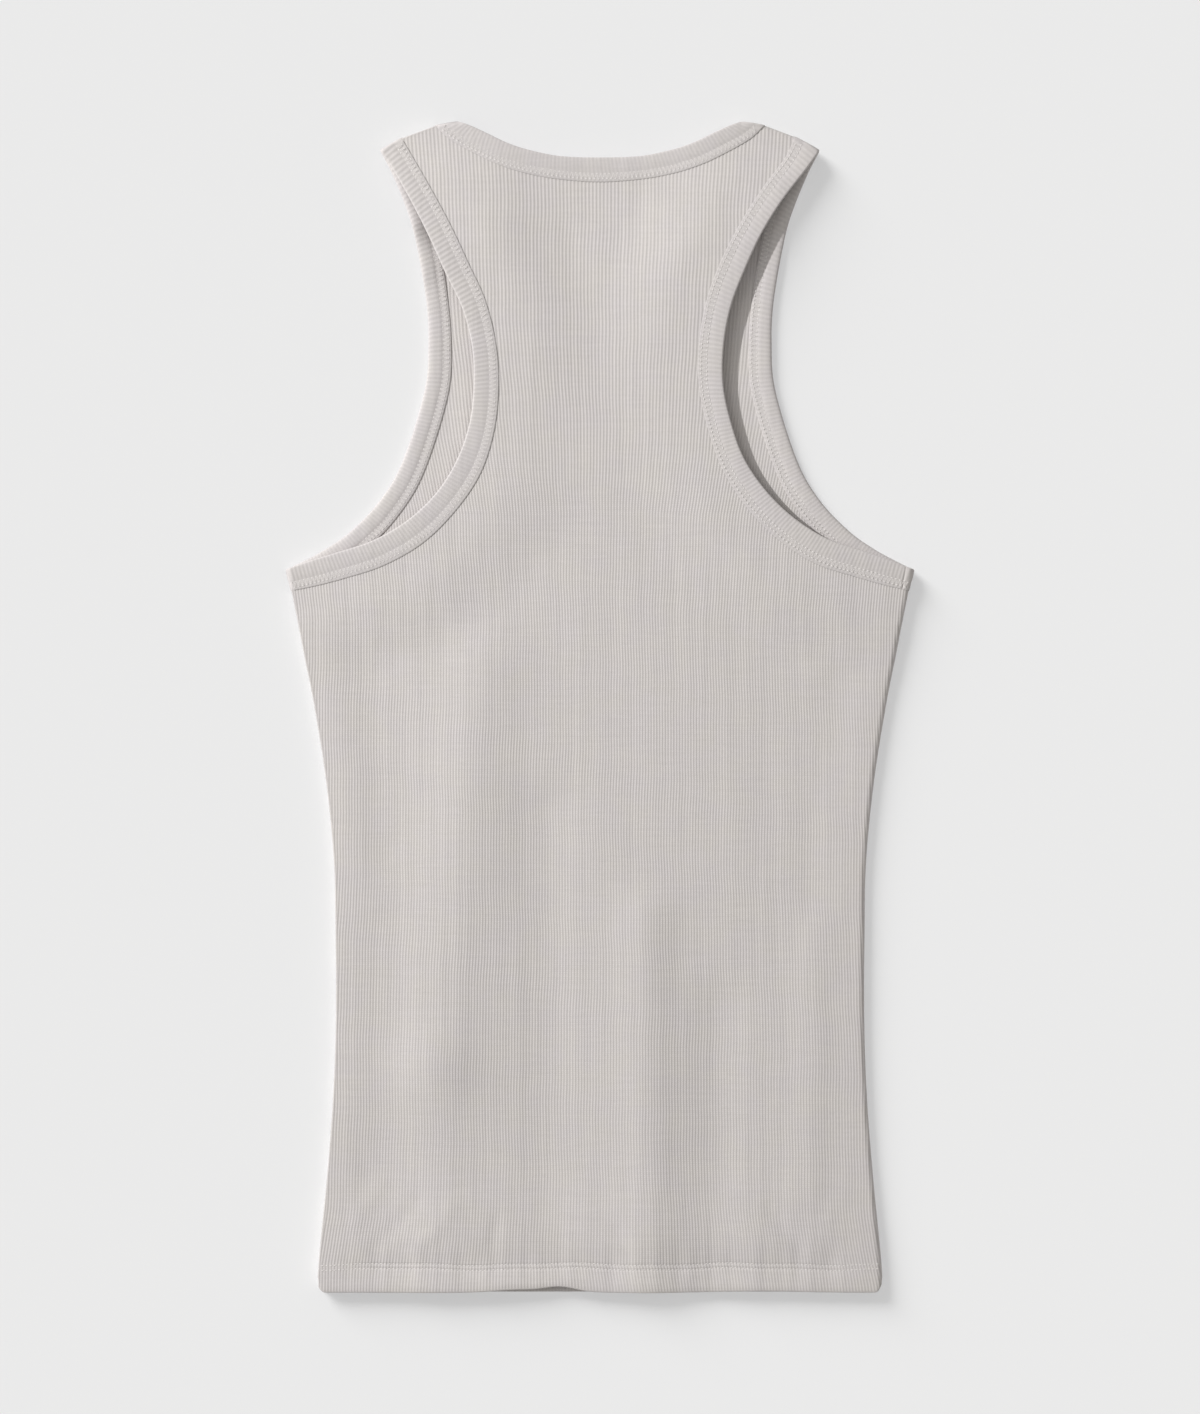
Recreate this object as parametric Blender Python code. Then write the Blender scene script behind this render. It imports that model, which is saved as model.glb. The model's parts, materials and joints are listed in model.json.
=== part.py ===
"""Racerback tank top in fine rib knit, laid out flat on its front with its back up.

Five sewn pieces: front panel, back panel, neck binding and two armhole bindings. The panels meet
in the side folds and the shoulder folds. Each binding is a strip of rib folded over a cut edge.
Plan sizes are in millimetres: x from the middle to the wearer's right, y towards the neck from
the middle of the length, z up from the table. Tables hold the right half and are mirrored.
"""
import bmesh
import bpy
import numpy as np
from mathutils import Vector
from mathutils.geometry import delaunay_2d_cdt
from mathutils.kdtree import KDTree

MM = 0.001
BACK = 1
FRONT = -1
RIGHT = 1
LEFT = -1

# Cloth and sewing
CLOTH = 1.2
BINDING_LEG = 1.0
SEAM_GAP = 0.3
HEM_LINE = -315.5
HEM_STEP = 0.6
HEM_EDGE = -329.4
HEM_CORNER = 4.5
HEM_POINTS = (8.0, 152.0, 10)
CORNER_STEPS = 4
BINDING_LIFT = SEAM_GAP + BINDING_LEG
INNER_LEG = -(CLOTH + SEAM_GAP)
CUT_INSET = 2.4
BINDING_CROWN = 1.4
PLAIN_MARGIN = 0.2

# Ribs of the knit: half a rib is one column of points
RIB_RISE = 0.3
RIB_FADE = 0.7
PLAIN_FADE = 6.0
RIB_COLUMNS = 1
PLAIN_COLUMNS = 20
BINDING_RIB_PITCH = 2.5
BINDING_RIB_RISE = 0.25
RIB_PITCH = (
    # y, pitch
    (-330.0, 1.73),
    (-285.0, 1.66),
    (-170.0, 1.63),
    (-60.0, 1.60),
    (52.0, 1.60),
    (108.0, 1.66),
    (164.0, 1.88),
    (220.0, 2.01),
    (277.0, 2.04),
    (330.0, 2.14),
)
RIB_ROWS = (-308.0, -270.0, -185.0, -100.0, -5.0, 75.0, 130.0, 200.0, 265.0)
ROW_ROOM = 3.0
COLUMN_SNAP = 0.2

# Heights of the upper face above the table
BODY_TOP = 3.9
SIDE_TOP = 5.2
HEM_TOP = 6.2
HEM_RISE = (-311.0, -285.0)
OVER_FRONT_NECK_TOP = 5.8
BACK_NECK_TOP = 5.0
SHOULDER_TOP = 6.6
ARMHOLE_TOP = (
    # y, top of the back panel's edge, which bows up where the armhole is open
    (60.0, 6.3),
    (110.0, 6.6),
    (160.0, 7.0),
    (200.0, 7.8),
    (240.0, 8.9),
    (266.0, 9.5),
    (294.0, 8.4),
    (314.0, 6.9),
    (332.0, 6.6),
)
SIDE_FADE = (7.0, 35.0)
EDGE_FADE = (14.5, 60.0)
NECK_FADE = (14.5, 50.0)
FRONT_NECK_FADE = (10.0, 40.0)
LIFTED_FRONT_FADE = (14.5, 30.0)

# Fold arcs: sine of the angle of each line of points between the flat and the seam
FOLD_SINES = (0.0, 0.5, 0.87, 1.0)
FOLD_CLEAR = 3.6
FOLD_STATIONS = (0.0, 0.4, 1.45, 2.9, 4.2, 6.0)
FIRST_STATION = 8.0
STATION_STEP = 15.0

# Side fold: half width of the body
SIDE = (
    # y, half_width
    (-330.0, 159.2),
    (-311.0, 158.3),
    (-266.0, 153.9),
    (-221.0, 150.4),
    (-176.0, 148.8),
    (-125.0, 149.0),
    (-86.0, 149.9),
    (-41.0, 154.4),
    (4.0, 161.6),
    (26.0, 166.0),
    (49.0, 170.4),
    (65.3, 173.7),
    (78.8, 176.2),
    (90.0, 177.5),
)
SIDE_ROWS = (-266.0, -215.0, -160.0, -110.0, -64.0, -19.0, 26.0, 60.0)
UNDERARM_ROWS = (76.0, 84.0)

# Shoulder fold: straight between the bindings, which pull it down at both ends
SHOULDER = (
    # x, y
    (67.0, 332.0),
    (79.0, 328.6),
    (93.0, 327.0),
    (107.5, 321.5),
    (123.4, 312.5),
    (132.0, 307.6),
)
SHOULDER_X = 82.0
SHOULDER_SLOPE = -0.375
SHOULDER_ZONE = 200.0


def shoulder(x):
    rows = np.array(SHOULDER)
    return np.interp(x, rows[:, 0], rows[:, 1])


# Bindings, from the shoulder on: the folded free edge and the edge on the panel
BACK_NECK = (
    # free_x, free_y, body_x, body_y
    (79.0, shoulder(79.0), 92.8, shoulder(92.8)),
    (73.6, 327.2, 84.4, 319.2),
    (64.0, 322.9, 69.8, 310.9),
    (52.0, 317.2, 57.0, 304.9),
    (39.0, 313.1, 42.4, 300.3),
    (22.0, 309.9, 23.6, 296.9),
    (0.0, 309.2, 0.0, 295.3),
)
FRONT_NECK = (
    # free_x, free_y, body_x, body_y
    (79.0, shoulder(79.0), 92.8, shoulder(92.8)),
    (77.6, 308.0, 91.0, 305.0),
    (72.3, 285.2, 86.3, 281.8),
    (63.8, 262.7, 76.8, 256.5),
    (49.2, 244.7, 58.2, 233.4),
    (26.7, 232.3, 31.2, 218.8),
    (0.0, 228.9, 0.0, 214.9),
)
BACK_ARMHOLE_RIGHT = (
    # free_x, free_y, body_x, body_y
    (123.4, shoulder(123.4), 109.4, shoulder(109.4)),
    (116.0, 302.2, 104.3, 309.2),
    (102.7, 285.0, 91.5, 291.9),
    (91.0, 266.2, 79.4, 272.9),
    (81.7, 246.2, 68.4, 251.7),
    (73.8, 225.5, 60.0, 229.4),
    (69.7, 203.9, 55.6, 205.0),
    (69.3, 181.8, 55.5, 181.0),
    (73.5, 160.9, 60.3, 157.4),
    (80.9, 140.2, 68.7, 133.8),
    (93.2, 121.9, 82.4, 112.3),
    (109.0, 106.5, 99.8, 94.4),
    (127.7, 94.7, 120.9, 80.6),
    (148.5, 87.5, 144.5, 72.9),
    (163.0, 82.6, 160.4, 68.4),
    (176.0, 77.6, 173.7, 65.3),
)
BACK_ARMHOLE_LEFT = (
    # free_x, free_y, body_x, body_y
    (123.4, shoulder(123.4), 111.6, shoulder(111.6)),
    (116.9, 303.0, 105.4, 309.6),
    (106.0, 283.8, 94.5, 290.6),
    (96.0, 264.0, 83.4, 269.8),
    (86.9, 243.9, 73.9, 249.5),
    (77.4, 223.9, 64.4, 228.6),
    (72.0, 202.5, 58.4, 204.1),
    (71.1, 180.4, 56.9, 180.2),
    (73.5, 159.2, 59.4, 155.3),
    (80.8, 138.4, 67.2, 131.0),
    (92.7, 119.7, 81.6, 109.8),
    (108.8, 104.7, 99.9, 91.9),
    (127.8, 93.7, 122.1, 79.3),
    (148.8, 86.7, 144.6, 72.0),
    (163.0, 82.3, 160.4, 67.9),
    (176.0, 77.6, 173.7, 65.3),
)
FRONT_ARMHOLE = (
    # free_x, free_y, body_x, body_y
    (123.4, shoulder(123.4), 111.0, shoulder(111.0)),
    (117.4, 300.9, 105.6, 306.3),
    (109.9, 282.9, 97.7, 287.9),
    (104.3, 264.9, 91.6, 268.5),
    (97.9, 228.9, 85.7, 230.3),
    (96.7, 203.6, 83.7, 203.6),
    (98.8, 178.3, 85.6, 175.4),
    (111.0, 138.9, 99.1, 132.2),
    (123.8, 116.4, 113.6, 107.7),
    (140.1, 99.2, 131.9, 88.3),
    (153.6, 89.5, 147.7, 77.3),
    (164.4, 83.4, 161.7, 70.3),
    (176.0, 77.6, 173.7, 65.3),
)

# Soft folds in the back: crest or trough from its top point to its bottom point
BACK_FOLDS = (
    # top_x, top_y, bottom_x, bottom_y, spread, rise
    (-66.0, 20.0, -92.0, -200.0, 24.0, 2.0),
    (-92.0, -200.0, -88.0, -330.0, 22.0, 1.3),
    (-30.0, -60.0, -28.0, -330.0, 17.0, -1.1),
    (26.0, -120.0, 27.0, -330.0, 16.0, 1.8),
    (68.0, -170.0, 62.0, -330.0, 14.0, -1.1),
    (126.0, -130.0, 118.0, -270.0, 15.0, 1.3),
    (-56.0, -327.0, -26.0, -327.0, 12.0, 1.4),
)
# Where the back hem is drawn up a little and the front hem shows below it
HEM_LIFTS = (
    # x, spread, rise
    (-46.0, 17.0, 1.5),
    (-27.0, 12.0, 2.0),
    (92.0, 28.0, 0.7),
)

# Section of a folded binding; across runs from the free edge, and BODY_EDGE is its far edge
BODY_EDGE = -1.0
BINDING_SECTION = (
    # across, lift, rib_up, rib_out
    (BODY_EDGE, BINDING_LIFT, BINDING_RIB_RISE, 0.0),
    (BINDING_CROWN, BINDING_LIFT, BINDING_RIB_RISE, 0.0),
    (0.0, 0.35, 0.1, BINDING_RIB_RISE),
    (0.0, -1.55, 0.0, 0.0),
    (BINDING_CROWN, INNER_LEG - BINDING_LEG, 0.0, 0.0),
    (BODY_EDGE, INNER_LEG - BINDING_LEG, 0.0, 0.0),
    (BODY_EDGE, INNER_LEG, 0.0, 0.0),
    (CUT_INSET - SEAM_GAP, INNER_LEG, 0.0, 0.0),
    (CUT_INSET - SEAM_GAP, SEAM_GAP, 0.0, 0.0),
    (BODY_EDGE, SEAM_GAP, 0.0, 0.0),
)

# A binding's end, as faces between the rows above
BINDING_END = ((0, 1, 8, 9), (1, 2, 8), (2, 3, 7, 8), (3, 4, 7), (4, 5, 6, 7))

CLOTH_COLOUR = (0.60, 0.57, 0.55, 1.0)
CLOTH_ROUGHNESS = 0.9
CURVE_STEPS = 12
POINT_MERGE = 0.002


def clear_scene():
    for item in list(bpy.data.objects):
        bpy.data.objects.remove(item, do_unlink=True)


def fade(distance, limits):
    """1 up to the first limit, 0 from the second, smooth between them."""
    near, far = limits
    share = np.clip((far - distance) / (far - near), 0.0, 1.0)
    return share * share * (3.0 - 2.0 * share)


def smooth_rows(rows):
    """Dense rows of a smooth curve through the rows of a table."""
    rows = np.array(rows)
    padded = np.vstack([2 * rows[0] - rows[1], rows, 2 * rows[-1] - rows[-2]])
    dense = []
    for i in range(1, len(rows)):
        before, start, end, after = padded[i - 1:i + 3]
        for t in np.arange(CURVE_STEPS) / CURVE_STEPS:
            bend = 2 * before - 5 * start + 4 * end - after
            twist = 3 * start - before - 3 * end + after
            dense.append(0.5 * (2 * start + (end - before) * t + bend * t ** 2 + twist * t ** 3))
    dense.append(rows[-1])
    return np.array(dense)


def mirrored(rows):
    return [(-row[0], row[1], -row[2], row[3]) for row in rows]


def edge_curve(rows):
    """A binding's two edges by length along it, as (lengths, dense rows)."""
    dense = smooth_rows(rows)
    middle = (dense[:, 0:2] + dense[:, 2:4]) / 2
    steps = np.linalg.norm(np.diff(middle, axis=0), axis=1)
    return np.concatenate([[0.0], np.cumsum(steps)]), dense


def edge_pairs(curve, stations):
    """Free and body points of a binding at the given lengths."""
    lengths, dense = curve
    columns = [np.interp(stations, lengths, dense[:, k]) for k in range(4)]
    return np.column_stack(columns[:2]), np.column_stack(columns[2:])


def inner_stations(curve):
    """Evenly spaced stations, an odd number so that one is in the middle."""
    length = curve[0][-1]
    count = 2 * int(np.ceil((length / 2 - FIRST_STATION) / STATION_STEP)) + 1
    return np.linspace(FIRST_STATION, length - FIRST_STATION, count)


def with_ends(curve, ends):
    """The inner stations, with the given distances from both ends added."""
    length = curve[0][-1]
    ends = np.array(ends)
    return np.concatenate([ends, inner_stations(curve), (length - ends)[::-1]])


NECK = {
    BACK: edge_curve(list(BACK_NECK) + mirrored(BACK_NECK)[-2::-1]),
    FRONT: edge_curve(list(FRONT_NECK) + mirrored(FRONT_NECK)[-2::-1]),
}
ARMHOLE = {
    (BACK, RIGHT): edge_curve(BACK_ARMHOLE_RIGHT),
    (BACK, LEFT): edge_curve(BACK_ARMHOLE_LEFT),
    (FRONT, RIGHT): edge_curve(FRONT_ARMHOLE),
    (FRONT, LEFT): edge_curve(FRONT_ARMHOLE),
}
SIDE_CURVE = smooth_rows(SIDE)
ARMHOLE_TOP_CURVE = smooth_rows(ARMHOLE_TOP)


def half_width(y):
    return np.interp(y, SIDE_CURVE[:, 0], SIDE_CURVE[:, 1])


def rib_pitch(y):
    rows = np.array(RIB_PITCH)
    return np.interp(y, rows[:, 0], rows[:, 1])


def nearest(line, x, y):
    """Distance from each point to a line of points, and the x of the nearest one."""
    start = line[:-1]
    along = line[1:] - start
    points = np.column_stack([x, y])
    offset = points[:, None, :] - start[None, :, :]
    share = np.sum(offset * along, axis=2) / np.sum(along * along, axis=1)
    share = np.clip(share, 0.0, 1.0)[:, :, None]
    miss = np.linalg.norm(offset - share * along, axis=2)
    best = np.argmin(miss, axis=1)
    foot = (start[None] + share * along)[np.arange(len(points)), best]
    return miss[np.arange(len(points)), best], foot[:, 0]


def body_line(curve):
    return curve[1][:, 2:4]


def to_armhole(side, x, y):
    """Distance to the armhole's binding on the same half of the panel."""
    gap = np.empty(len(x))
    for hand in (RIGHT, LEFT):
        half = (x >= 0.0) == (hand == RIGHT)
        gap[half], _ = nearest(body_line(ARMHOLE[side, hand]), np.abs(x[half]), y[half])
    return gap


def front_height(x, y):
    """Underside of the front panel: on the table, but over its bindings."""
    armhole = to_armhole(FRONT, x, y)
    neck, _ = nearest(body_line(NECK[FRONT]), x, y)
    lifted = np.maximum(fade(armhole, LIFTED_FRONT_FADE), fade(neck, LIFTED_FRONT_FADE))
    return BINDING_LIFT * lifted


def back_folds(x, y):
    total = np.zeros_like(x)
    for top_x, top_y, bottom_x, bottom_y, spread, rise in BACK_FOLDS:
        line = np.array([(top_x, top_y), (bottom_x, bottom_y)])
        distance, _ = nearest(line, x, y)
        total += rise * np.exp(-(distance / spread) ** 2)
    return total


def back_height(x, y):
    """Upper face of the back panel, with its soft folds."""
    near_hem = fade(y, HEM_RISE)
    height = BODY_TOP + (HEM_TOP - BODY_TOP) * near_hem + back_folds(x, y)
    side_top = SIDE_TOP + (HEM_TOP - SIDE_TOP) * near_hem
    side = fade(half_width(y) - np.abs(x), SIDE_FADE)
    height += (side_top - height) * side
    over_neck, _ = nearest(body_line(NECK[FRONT]), x, y)
    height += (OVER_FRONT_NECK_TOP - height) * fade(over_neck, FRONT_NECK_FADE)
    neck, neck_x = nearest(body_line(NECK[BACK]), x, y)
    rise = fade(SHOULDER_X - np.abs(neck_x), (0.0, SHOULDER_X))
    neck_top = BACK_NECK_TOP + (SHOULDER_TOP - BACK_NECK_TOP) * rise
    height += (neck_top - height) * fade(neck, NECK_FADE)
    armhole_top = np.interp(y, ARMHOLE_TOP_CURVE[:, 0], ARMHOLE_TOP_CURVE[:, 1])
    return height + (armhole_top - height) * fade(to_armhole(BACK, x, y), EDGE_FADE)


def fold_distance(x, y):
    """Distance in from the fold, and the outward direction of the fold."""
    mirror = np.sign(x)
    run = np.hypot(1.0, SHOULDER_SLOPE)
    at_shoulder = y > SHOULDER_ZONE
    to_shoulder = (shoulder(np.abs(x)) - y) / run
    to_side = half_width(y) - np.abs(x)
    distance = np.maximum(np.where(at_shoulder, to_shoulder, to_side), 0.0)
    outward_x = np.where(at_shoulder, -SHOULDER_SLOPE / run * mirror, mirror)
    outward_y = np.where(at_shoulder, 1.0 / run, 0.0)
    return distance, outward_x, outward_y


def cloth_points(side, plan, lift):
    """Points of a panel's outer face, moved out by lift, with the folds rounded over."""
    x = plan[:, 0]
    y = plan[:, 1]
    top = back_height(x, y)
    low = front_height(x, y)
    radius = (top - low) / 2
    distance, outward_x, outward_y = fold_distance(x, y)
    sine = np.clip(1.0 - distance / radius, 0.0, 1.0)
    cosine = np.sqrt(1.0 - sine * sine)
    reach = radius + lift
    shift = np.minimum(distance, radius) - radius + reach * sine
    half_gap = SEAM_GAP / 2
    z = (top + low) / 2 + side * (half_gap + (reach - half_gap) * cosine)
    return np.column_stack([x + outward_x * shift, y + outward_y * shift, z])


def hem_edge(side, x):
    """The hem's lower edge, drawn up in places and rounded at the corners."""
    inward = half_width(HEM_EDGE) - np.abs(x)
    corner = HEM_CORNER * np.clip(1.0 - inward / HEM_CORNER, 0.0, 1.0) ** 2
    lifted = 0.0
    if side == BACK:
        for centre, spread, rise in HEM_LIFTS:
            lifted = lifted + rise * np.exp(-((x - centre) / spread) ** 2)
    return HEM_EDGE + corner + lifted


def side_line(sine, y, mirror):
    """A line of points along the side fold at one angle of its arc."""
    width = half_width(y)
    edge = np.column_stack([mirror * width, y])
    radius = (back_height(edge[:, 0], y) - front_height(edge[:, 0], y)) / 2
    return np.column_stack([mirror * (width - radius * (1.0 - sine)), y])


def corner_point(side, sine, mirror):
    """Where a line of the side fold meets the hem's edge."""
    point = side_line(sine, np.array([HEM_EDGE + HEM_CORNER]), mirror)
    for _ in range(CORNER_STEPS):
        point = side_line(sine, hem_edge(side, point[:, 0]), mirror)
    return point


def cut_points(curve, stations, mirror):
    free, body = edge_pairs(curve, stations)
    width = np.linalg.norm(body - free, axis=1)[:, None]
    return (free + (body - free) * CUT_INSET / width) * (mirror, 1.0)


def plain_points(curve, stations, mirror):
    """Points on the panel just clear of a binding's body edge."""
    free, body = edge_pairs(curve, stations)
    width = np.linalg.norm(body - free, axis=1)[:, None]
    return (body + (body - free) * PLAIN_MARGIN / width) * (mirror, 1.0)


def neck_half(curve, first):
    """Stations from the right shoulder to the middle of the neck."""
    stations = with_ends(curve, FOLD_STATIONS)
    return stations[(stations >= first) & (stations < curve[0][-1] / 2 - POINT_MERGE)]


def panel_loops(side):
    """The panel's cut outline and, inside it, the field of cloth that no binding covers."""
    heights = np.array((HEM_LINE, HEM_LINE + HEM_STEP) + SIDE_ROWS)
    neck = NECK[side]
    outline = []
    field = []
    for mirror in (RIGHT, LEFT):
        armhole = ARMHOLE[side, mirror]
        hem_x = mirror * np.linspace(*HEM_POINTS)
        hem = np.column_stack([hem_x, hem_edge(side, hem_x)])
        corners = [corner_point(side, sine, mirror) for sine in FOLD_SINES]
        ends = (0.0, FOLD_CLEAR)
        around = [hem] + corners + [side_line(1.0, heights, mirror)]
        arm_cut = cut_points(armhole, with_ends(armhole, ends)[::-1], mirror)
        neck_cut = cut_points(neck, neck_half(neck, 0.0), mirror)
        fold = np.array(SHOULDER[3:1:-1]) * (mirror, 1.0)
        outline.append(np.vstack(around + [arm_cut, fold, neck_cut]))
        inside = [hem, corners[0], side_line(0.0, heights, mirror)]
        inside.append(plain_points(armhole, with_ends(armhole, ends[1:])[::-1], mirror))
        inside.append(plain_points(neck, neck_half(neck, FOLD_CLEAR), mirror))
        field.append(np.vstack(inside))
    middle = np.array([neck[0][-1] / 2])
    outline = np.vstack([outline[0], cut_points(neck, middle, 1.0), outline[1][::-1]])
    field = np.vstack([field[0], plain_points(neck, middle, 1.0), field[1][::-1]])
    return outline, field


def inset(loop, distance):
    """A closed loop moved inwards, the loop being counter-clockwise."""
    before = loop - np.roll(loop, 1, axis=0)
    after = np.roll(loop, -1, axis=0) - loop
    before = before / np.linalg.norm(before, axis=1)[:, None]
    after = after / np.linalg.norm(after, axis=1)[:, None]
    mean = before + after
    mean = mean / np.linalg.norm(mean, axis=1)[:, None]
    return loop + distance * np.column_stack([-mean[:, 1], mean[:, 0]])


class Plan:
    """Points and fixed edges of a flat layout, to be filled with triangles."""

    def __init__(self):
        self.points = []
        self.ribbed = []
        self.edges = []

    def add(self, point, ribbed=False):
        self.points.append(Vector((float(point[0]), float(point[1]))))
        self.ribbed.append(ribbed)
        return len(self.points) - 1

    def chain(self, points, closed=False, ribbed=False):
        indices = [self.add(point, ribbed) for point in points]
        self.join(indices + indices[:1] if closed else indices)
        return indices

    def join(self, indices):
        self.edges.extend(zip(indices[:-1], indices[1:]))

    def fill(self, outline):
        """Triangles inside the outline, as (plan points, ribbed flags, faces)."""
        cut = delaunay_2d_cdt(self.points, self.edges, [], 0, POINT_MERGE)
        points = np.array([tuple(point) for point in cut[0]])
        ribbed = np.array([any(self.ribbed[i] for i in origin) for origin in cut[3]])
        faces = np.array(cut[2])
        centres = points[faces].mean(axis=1)
        faces = faces[inside_loop(outline, centres)]
        used = np.unique(faces)
        renumber = np.full(len(points), -1)
        renumber[used] = np.arange(len(used))
        return points[used], ribbed[used], renumber[faces]


def inside_loop(loop, points):
    after = np.roll(loop, -1, axis=0)
    x = points[:, 0][:, None]
    y = points[:, 1][:, None]
    spans = (loop[:, 1] > y) != (after[:, 1] > y)
    rise = np.where(after[:, 1] == loop[:, 1], 1.0, after[:, 1] - loop[:, 1])
    meet = loop[:, 0] + (y - loop[:, 1]) / rise * (after[:, 0] - loop[:, 0])
    return np.sum(spans & (x < meet), axis=1) % 2 == 1


def add_plain_columns(plan, loop, step):
    """Spread points over the cloth inside a loop, wide apart and on the same rows."""
    reach = int(SIDE_CURVE[-1, 1] / (step * rib_pitch(0.0) / 2))
    for y in RIB_ROWS:
        x = np.arange(-reach, reach + 1) * step * rib_pitch(y) / 2
        row = np.column_stack([x, np.full_like(x, y)])
        for point in row[inside_loop(loop, row)]:
            plan.add(point)


def add_rib_columns(plan, loop, step):
    """Lay the knit's columns inside a loop, each from edge to edge with points on the rows."""
    crossings = {}
    ring = []
    corners = [plan.add(point, True) for point in loop]
    phases = 2 * loop[:, 0] / rib_pitch(loop[:, 1]) / step
    for i, start in enumerate(loop):
        following = (i + 1) % len(loop)
        end = loop[following]
        span = phases[following] - phases[i]
        length = np.linalg.norm(end - start)
        ring.append(corners[i])
        low, high = sorted((phases[i], phases[following]))
        columns = np.arange(np.ceil(low), np.ceil(high))
        for column in columns if span > 0.0 else columns[::-1]:
            share = (column - phases[i]) / span
            y = start[1] + share * (end[1] - start[1])
            if share * length < COLUMN_SNAP:
                index = corners[i]
            elif (1.0 - share) * length < COLUMN_SNAP:
                index = corners[following]
            else:
                index = plan.add((column * step * rib_pitch(y) / 2, y), True)
                ring.append(index)
            crossings.setdefault(int(column), []).append((y, index))
    plan.join(ring + ring[:1])
    for column, hits in crossings.items():
        hits.sort()
        for (low, first), (high, last) in zip(hits[0::2], hits[1::2]):
            rows = [y for y in RIB_ROWS if low + ROW_ROOM < y < high - ROW_ROOM]
            points = [plan.add((column * step * rib_pitch(y) / 2, y), True) for y in rows]
            plan.join([first] + points + [last])


def rib_wave(phase):
    """0 in the valleys and 1 on the ridges, straight between them."""
    return 1.0 - np.abs(2.0 * (phase - np.floor(phase)) - 1.0)


def panel_face(side, outline, field, step, inner):
    """One face of a panel: plan points, points in space and triangles."""
    plan = Plan()
    plan.chain(outline, closed=True)
    plan.chain(field, closed=True)
    heights = np.array((HEM_LINE, HEM_LINE + HEM_STEP) + SIDE_ROWS + UNDERARM_ROWS)
    strap = np.array(SHOULDER)
    for mirror in (RIGHT, LEFT):
        for sine in FOLD_SINES[:-1]:
            line = np.vstack([corner_point(side, sine, mirror), side_line(sine, heights, mirror)])
            plan.chain(line)
            radius = (SHOULDER_TOP - BINDING_LIFT) / 2 * (1.0 - sine)
            drop = radius * np.hypot(1.0, SHOULDER_SLOPE)
            plan.chain(strap * (mirror, 1.0) - (0.0, drop))
    if inner:
        for y in (HEM_LINE, HEM_LINE + HEM_STEP):
            width = half_width(y)
            plan.chain([(-width, y), (width, y)])
    if step == PLAIN_COLUMNS:
        add_plain_columns(plan, inset(field, PLAIN_FADE), step)
    else:
        rib_field = inset(field, RIB_FADE)
        clear_of_hem = np.abs(rib_field[:, 1] - HEM_LINE) > 2 * HEM_STEP
        add_rib_columns(plan, rib_field[clear_of_hem], step)
    points, ribbed, faces = plan.fill(outline)
    if inner:
        lift = -CLOTH * (1.0 + (points[:, 1] < HEM_LINE + HEM_STEP / 2))
    elif side == BACK:
        lift = RIB_RISE * rib_wave(points[:, 0] / rib_pitch(points[:, 1])) * ribbed
    else:
        lift = np.zeros(len(points))
    return points, cloth_points(side, points, lift), faces


def rim_edges(faces):
    """Edges that only one triangle has, in that triangle's direction."""
    seen = set()
    for a, b, c in faces:
        seen.update(((a, b), (b, c), (c, a)))
    return [(a, b) for a, b in seen if (b, a) not in seen]


def make_material(name):
    material = bpy.data.materials.new(name)
    material.use_nodes = True
    shader = material.node_tree.nodes["Principled BSDF"]
    shader.inputs["Base Color"].default_value = CLOTH_COLOUR
    shader.inputs["Roughness"].default_value = CLOTH_ROUGHNESS
    shader.inputs["Metallic"].default_value = 0.0
    material.diffuse_color = CLOTH_COLOUR
    return material


def add_object(name, points, faces):
    """A closed body from points in millimetres, its faces turned outwards."""
    mesh = bpy.data.meshes.new(name)
    shape = bmesh.new()
    vertices = [shape.verts.new(point) for point in np.asarray(points) * MM]
    for face in faces:
        shape.faces.new([vertices[i] for i in face])
    bmesh.ops.triangulate(shape, faces=shape.faces[:], ngon_method="EAR_CLIP")
    bmesh.ops.recalc_face_normals(shape, faces=shape.faces[:])
    shape.to_mesh(mesh)
    shape.free()
    item = bpy.data.objects.new(name, mesh)
    bpy.context.scene.collection.objects.link(item)
    mesh.materials.append(make_material(name + "_knit"))
    return item


def add_panel(name, side, step):
    """A panel: its outer face, its plain inner face and the cut edge between them."""
    outline, field = panel_loops(side)
    outer_plan, outer, outer_faces = panel_face(side, outline, field, step, False)
    inner_plan, inner, inner_faces = panel_face(side, outline, field, PLAIN_COLUMNS, True)
    rim = rim_edges(inner_faces.tolist())
    tree = KDTree(len(rim))
    for start, _ in rim:
        tree.insert((*inner_plan[start], 0.0), start)
    tree.balance()
    count = len(outer)
    faces = [tuple(face) for face in outer_faces.tolist()]
    faces += [tuple(count + i for i in face[::-1]) for face in inner_faces.tolist()]
    for a, b in rim_edges(outer_faces.tolist()):
        inner_a = count + tree.find((*outer_plan[a], 0.0))[1]
        inner_b = count + tree.find((*outer_plan[b], 0.0))[1]
        faces.append((b, a, inner_a, inner_b))
    return add_object(name, np.vstack([outer, inner]), faces)


def lace(points, first, second):
    """Triangles between two rows of (place along, vertex), however many each has."""
    faces = []
    i = 0
    j = 0
    while i < len(first) - 1 or j < len(second) - 1:
        step_first = j == len(second) - 1
        if not step_first and i < len(first) - 1:
            ahead = first[i + 1][0] - second[j + 1][0]
            one_way = np.linalg.norm(points[first[i + 1][1]] - points[second[j][1]])
            other_way = np.linalg.norm(points[first[i][1]] - points[second[j + 1][1]])
            step_first = ahead < 0.0 or (ahead == 0.0 and one_way > other_way)
        if step_first:
            faces.append((first[i][1], second[j][1], first[i + 1][1]))
            i += 1
        else:
            faces.append((first[i][1], second[j][1], second[j + 1][1]))
            j += 1
    return faces


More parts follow.
